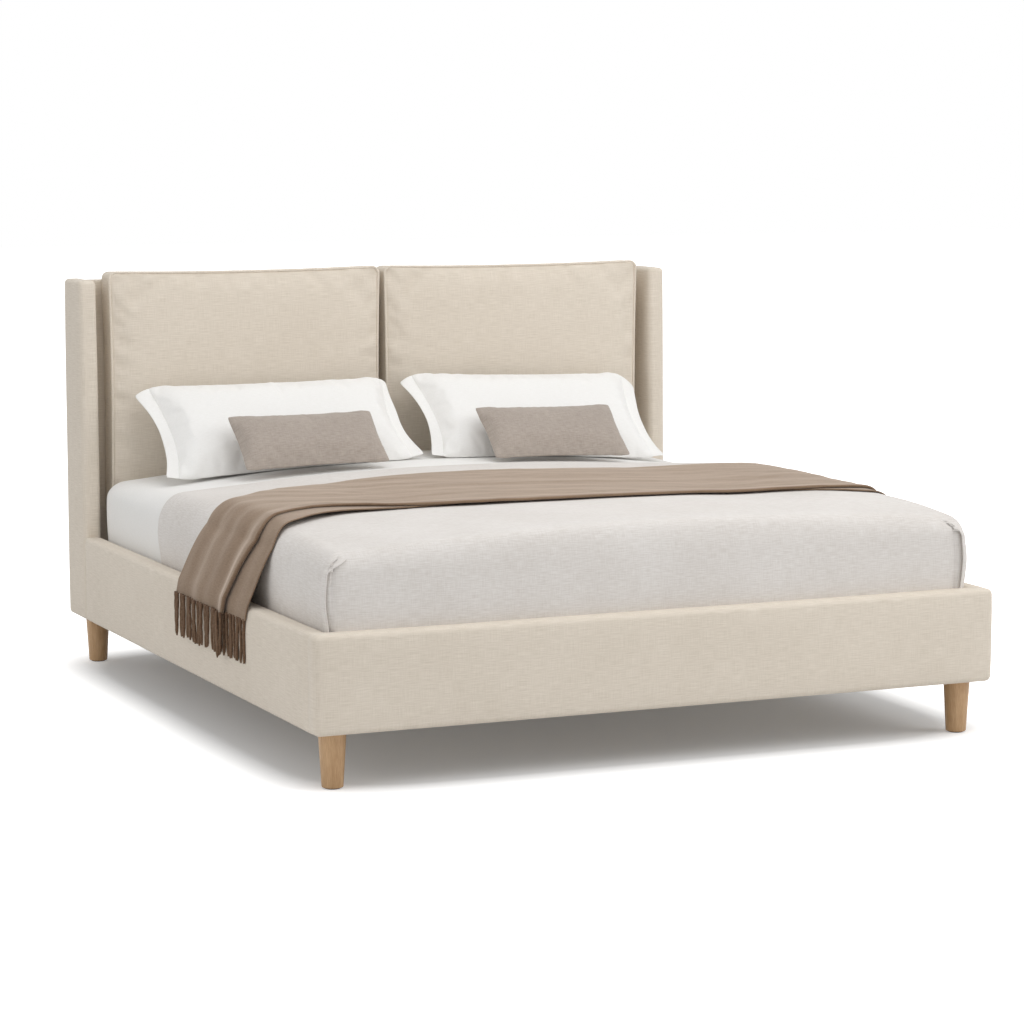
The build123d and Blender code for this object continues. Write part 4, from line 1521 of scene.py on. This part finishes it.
@dataclass
class Stuffed:
    """A knife-edged pillow or cushion, filled to its seams and leaned on what is behind it."""
    node: str
    bed: BedForm
    slot: str
    finish: Finish
    width: float
    height: float
    thickness: float
    flange: float = 0.0
    cell: float = 0.010
    lean: float = 50.0
    end_power: float = 3.4
    edge_power: float = 2.4
    fullness: float = 0.55
    draw_in: float = 0.016
    growth: float = 0.030
    pressure: float = 4.0
    cap: float = 0.012
    seed: float = 0.0
    droops: tuple[float, float] = (0.0, 0.0)
    flares: tuple[float, float] = (1.2, 1.0)
    seam: float = 0.0016
    nip: float = 0.008
    lift: float = 0.0
    shift: float = 0.0
    roll_share: float = 1.0
    settle: float = 1.0
    bed_gap: float = 0.0042
    # How far below the floor the axis of the bed's crown lies.
    crown_depth: float = 9.7147

    def case(self) -> Piece:
        """The flat case before it is filled.

        Returns:
            The case.
        """
        piece = new_cube(self.node + "_case", (-self.width / 2, -self.height / 2, -self.seam),
                         (self.width / 2, self.height / 2, self.seam))
        cut_through(piece, 0, steps(-self.width / 2, self.width / 2, self.cell))
        cut_through(piece, 1, steps(-self.height / 2, self.height / 2, self.cell))
        return piece

    def outline(self, x: float, y: float) -> tuple[float, float]:
        """Draws the seams in between the corners and rounds the corners a little.

        Args:
            x: place along the case.
            y: place up the case.

        Returns:
            The new place.
        """
        sx, sy = 2 * x / self.width, 2 * y / self.height
        nip = self.nip * (abs(sx) * abs(sy)) ** 16
        x -= math.copysign(self.draw_in * (1 - sy * sy) * (1 - 0.35 * sy) * abs(sx) ** 5 + nip, sx)
        y -= math.copysign(0.006 * (1 - sx * sx) * abs(sy) ** 3 + nip, sy)
        return x, y

    def filled(self, co: Vector) -> Point:
        """Fills the case at one point.

        Args:
            co: the point on the flat case.

        Returns:
            Its place on the filled one.
        """
        sx, sy = 2 * co.x / self.width, 2 * co.y / self.height
        slack = max(0.0, 1 - abs(sx) ** self.end_power) * max(0.0, 1 - abs(sy) ** self.edge_power)
        full = slack ** self.fullness
        full *= 1 + 0.07 * rough((co.x, co.y, 0), 0.17, self.seed)
        x, y = self.outline(co.x, co.y)
        return x, y, math.copysign(self.seam + (self.thickness / 2 - self.seam) * full, co.z)

    def build(self) -> None:
        """Models, leans and dresses the piece."""
        piece = self.case()
        held = [vertex.index for vertex in piece.data.vertices
                if abs(vertex.co.x) > self.width / 2 - NEAR or abs(vertex.co.y) > self.height / 2 - NEAR]
        reshape(piece, self.filled)
        inflate(piece, held, self.pressure, self.growth, self.cap)
        half_depth = max(abs(vertex.co.z) for vertex in piece.data.vertices)
        reshape(piece, lambda co: (co.x, co.y, co.z * self.thickness / 2 / half_depth))
        modify(piece, "SUBSURF", levels=1, render_levels=1)
        layer = cloth_map(piece)
        for loop in piece.data.loops:
            co = piece.data.vertices[loop.vertex_index].co
            layer.data[loop.index].uv = (co.x, co.y)
        if self.flange:
            borders = [self.border(side) for side in (-1, 1)]
            piece = joined(self.node + "_case", [piece, *borders])
        low, high = (Vector(corner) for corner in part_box(self.node))
        middle = (low + high) / 2
        bed_slope = math.asin(middle.x / (middle.z + self.crown_depth))
        roll = self.roll_share * bed_slope
        middle.z += self.lift
        middle.x += self.shift
        reshape(piece, lambda co: self.settled(co, self.settle * (bed_slope - roll)))
        turn = Matrix.Rotation(roll, 4, "Y") @ Matrix.Rotation(math.radians(90 - self.lean), 4, "X")
        piece.data.transform(Matrix.Translation(middle) @ turn)
        reshape(piece, lambda co: (co.x, co.y, max(co.z, self.bed.top(co.x, co.y, self.bed_gap))))
        smooth(piece, 70)
        own(piece, self.node, self.slot, self.finish, self.node)

    def settled(self, co: Vector, slope: float) -> Point:
        """Lets the lower part of the piece follow the bed's slope where its top stays level.

        Args:
            co: the point on the filled case.
            slope: angle between the two.

        Returns:
            Its settled place.
        """
        low_share = ease((0.5 - co.y / self.height) / 0.9)
        drop = -math.sin(slope) * co.x * low_share
        lean = math.radians(self.lean)
        return co.x, co.y + drop * math.sin(lean), co.z + drop * math.cos(lean)

    def border(self, side: int) -> Piece:
        """Flat double border at one end of a pillow case, with its free corner drooping.

        Args:
            side: -1 for the left end, 1 for the right.

        Returns:
            The border.
        """
        droop = self.droops[side > 0]
        flare = self.flares[side > 0]

        def place(u: float, v: float) -> Point:
            """Place on the border, at shares of its height and of its width.

            Args:
                u: the first share.
                v: the second share.

            Returns:
                The point.
            """
            start, y = self.outline(self.width / 2, self.height / 2 * (2 * u - 1))
            start -= 0.003
            wide = self.flange * (1 - 0.15 * math.sin(math.pi * u) + (flare - 1) * ease((u - 0.5) / 0.5))
            x = start + wide * v
            y -= droop * v ** 1.4 * ease((u - 0.35) / 0.65) - 0.006 * v * (1 - u)
            z = 0.005 * v * rough((v * 0.05, y, side), 0.09, self.seed + 3)
            z += 0.004 * v * math.sin(7 * u + self.seed) - 0.010 * v * v * ease((u - 0.5) / 0.5)
            return side * x, y, z

        strip = new_grid(f"{self.node}_border_{side}", 36, 6, place,
                         lambda u, v: (self.width / 2 + self.flange * v, self.height * (u - 0.5)))
        modify(strip, "SOLIDIFY", thickness=0.0032, offset=0)
        face_outward(strip)
        modify(strip, "SUBSURF", levels=1, render_levels=1)
        return strip


# Stage

@dataclass(frozen=True)
class Lamp:
    """A soft square lamp."""
    name: str
    place: Point
    target: Point
    size: float
    power: float


@dataclass
class Studio:
    """Pale floor, soft lights and the camera."""
    # The camera's place and turn come from the fit to the photograph's corners, in metres and degrees.
    camera_place: Point = (-3.908, -8.919, 1.799)
    camera_pitch: float = 7.25
    camera_yaw: float = 23.85
    focal_pixels: float = 3231.0
    image_pixels: float = 1024.0
    sensor: float = 36.0
    ambient: float = 0.59
    glow_start: float = 0.9
    glow_end: float = 1.8
    glow_near: float = 0.10
    bed_half: tuple[float, float] = (1.03, 1.14)
    floor_shade: float = 0.80
    lamps: tuple[Lamp, ...] = (
        Lamp("overhead", (0.0, -0.6, 5.5), (0.0, -0.3, 0.5), 3.5, 56.0),
        Lamp("headboard", (0.3, -2.2, 3.4), (0.0, 1.0, 0.9), 2.4, 20.0),
        Lamp("left", (-6.0, -1.5, 3.0), (-0.8, 0.0, 0.5), 3.0, 34.0),
        Lamp("right", (5.0, -3.5, 3.5), (0.0, 0.0, 0.5), 3.0, 87.0),
    )

    def build(self) -> None:
        """Sets the camera, world, lamps and floor."""
        camera = bpy.data.cameras.new("camera")
        camera.sensor_fit = "HORIZONTAL"
        camera.sensor_width = self.sensor
        camera.lens = self.focal_pixels / self.image_pixels * self.sensor
        camera.clip_end = 60
        holder = bpy.data.objects.new("camera", camera)
        holder.location = self.camera_place
        holder.rotation_euler = (math.radians(90 - self.camera_pitch), 0, math.radians(-self.camera_yaw))
        bpy.context.collection.objects.link(holder)
        bpy.context.scene.camera = holder
        bpy.context.scene.view_settings.view_transform = "Standard"
        self.light_world()
        for lamp in self.lamps:
            self.add_lamp(lamp)
        self.lay_floor()

    def light_world(self) -> None:
        """White for the camera, and a plain even light for everything else."""
        world = bpy.data.worlds.new("studio")
        world.use_nodes = True
        bpy.context.scene.world = world
        tree = world.node_tree
        strength = add_node(tree, "MapRange", {"To Min": self.ambient, "To Max": 1.0},
                            {"Value": self.seen_directly(tree)}).outputs[0]
        background = tree.nodes["Background"]
        background.inputs["Color"].default_value = (1, 1, 1, 1)
        tree.links.new(strength, background.inputs["Strength"])

    def seen_directly(self, tree: Tree) -> Socket:
        """1 for what the camera or a reflection sees, and 0 for light on other things.

        Args:
            tree: the nodes of a material or the world.

        Returns:
            The value's socket.
        """
        path = add_node(tree, "LightPath")
        return add_node(tree, "Math", {"operation": "MAXIMUM"},
                        {0: path.outputs["Is Camera Ray"], 1: path.outputs["Is Glossy Ray"]}).outputs[0]

    def add_lamp(self, lamp: Lamp) -> None:
        """Adds a soft square lamp aimed at its target.

        Args:
            lamp: the lamp.
        """
        light = bpy.data.lights.new(lamp.name, "AREA")
        light.shape = "SQUARE"
        light.size = lamp.size
        light.energy = lamp.power
        holder = bpy.data.objects.new(lamp.name, light)
        holder.location = lamp.place
        aim = Vector(lamp.target) - Vector(lamp.place)
        holder.rotation_euler = aim.to_track_quat("-Z", "Y").to_euler()
        bpy.context.collection.objects.link(holder)

    def lay_floor(self) -> None:
        """Lays a wide floor that takes the bed's shadow, with a painted glow for the camera that is weakest
        near the bed and white away from it.
        """
        deselect_all()
        bpy.ops.mesh.primitive_plane_add(size=60)
        floor = bpy.context.active_object
        floor.name = "floor"
        material = bpy.data.materials.new("pale_floor")
        material.use_nodes = True
        tree = material.node_tree
        shader = tree.nodes["Principled BSDF"]
        shader.inputs["Base Color"].default_value = (*[self.floor_shade] * 3, 1)
        shader.inputs["Roughness"].default_value = 0.9
        shader.inputs["Specular IOR Level"].default_value = 0.0
        place = add_node(tree, "TexCoord").outputs["Object"]
        scale = [1 / half for half in self.bed_half] + [0]
        power = add_node(tree, "Mapping", {"Scale": scale}, {"Vector": place}).outputs[0]
        for _ in range(2):
            power = add_node(tree, "VectorMath", {"operation": "MULTIPLY"}, {0: power, 1: power}).outputs[0]
        away = add_node(tree, "VectorMath", {"operation": "LENGTH"}, {0: power}).outputs["Value"]
        # Painted glow seen only by the camera: weak under and near the bed, so the floor there reads darker
        # round the real shadow, and rising to white farther out.
        limits = {"From Min": self.glow_start, "From Max": self.glow_end,
                  "To Min": self.glow_near, "To Max": 1.0}
        glow = add_node(tree, "MapRange", limits, {"Value": away}).outputs[0]
        seen = add_node(tree, "Math", {"operation": "MULTIPLY"},
                        {0: glow, 1: self.seen_directly(tree)}).outputs[0]
        shader.inputs["Emission Color"].default_value = (1, 1, 1, 1)
        tree.links.new(seen, shader.inputs["Emission Strength"])
        floor.data.materials.append(material)


def main() -> None:
    """Builds the studio, then each part of the bed in turn."""
    logging.basicConfig(level=logging.INFO, format="%(name)s %(message)s", stream=sys.stdout)
    Studio().build()
    Frame().build()
    for seed, side in enumerate(("left", "right")):
        HeadboardCushion(side, seed=float(seed)).build()
    linen = BedLinen()
    linen.build()
    bed = linen.form()
    Throw(bed).build()
    pillow = {"slot": "pillow_case", "finish": PERCALE, "height": 0.394, "thickness": 0.130,
              "flange": 0.042, "end_power": 6.0, "draw_in": 0.030}
    Stuffed("left_pillow", bed, width=0.800, droops=(0.022, 0.006), flares=(1.25, 0.5),
            roll_share=0.1, seed=2.0, **pillow).build()
    Stuffed("right_pillow", bed, width=0.770, droops=(0.020, 0.040), flares=(1.1, 1.0), lift=-0.001,
            shift=-0.022, roll_share=0.7, seed=3.0, **pillow).build()
    small = {"slot": "small_cushion", "finish": SLUB_LINEN, "width": 0.478, "height": 0.230,
             "thickness": 0.088, "cell": 0.008, "draw_in": 0.006, "end_power": 5.0, "growth": 0.022,
             "cap": 0.008, "nip": 0.003, "settle": 0.35}
    Stuffed("left_small_cushion", bed, lift=0.017, shift=-0.008, roll_share=0.1, seed=5.0,
            **small).build()
    Stuffed("right_small_cushion", bed, lift=0.009, roll_share=0.4, seed=6.0, **small).build()


if __name__ == "__main__":
    main()
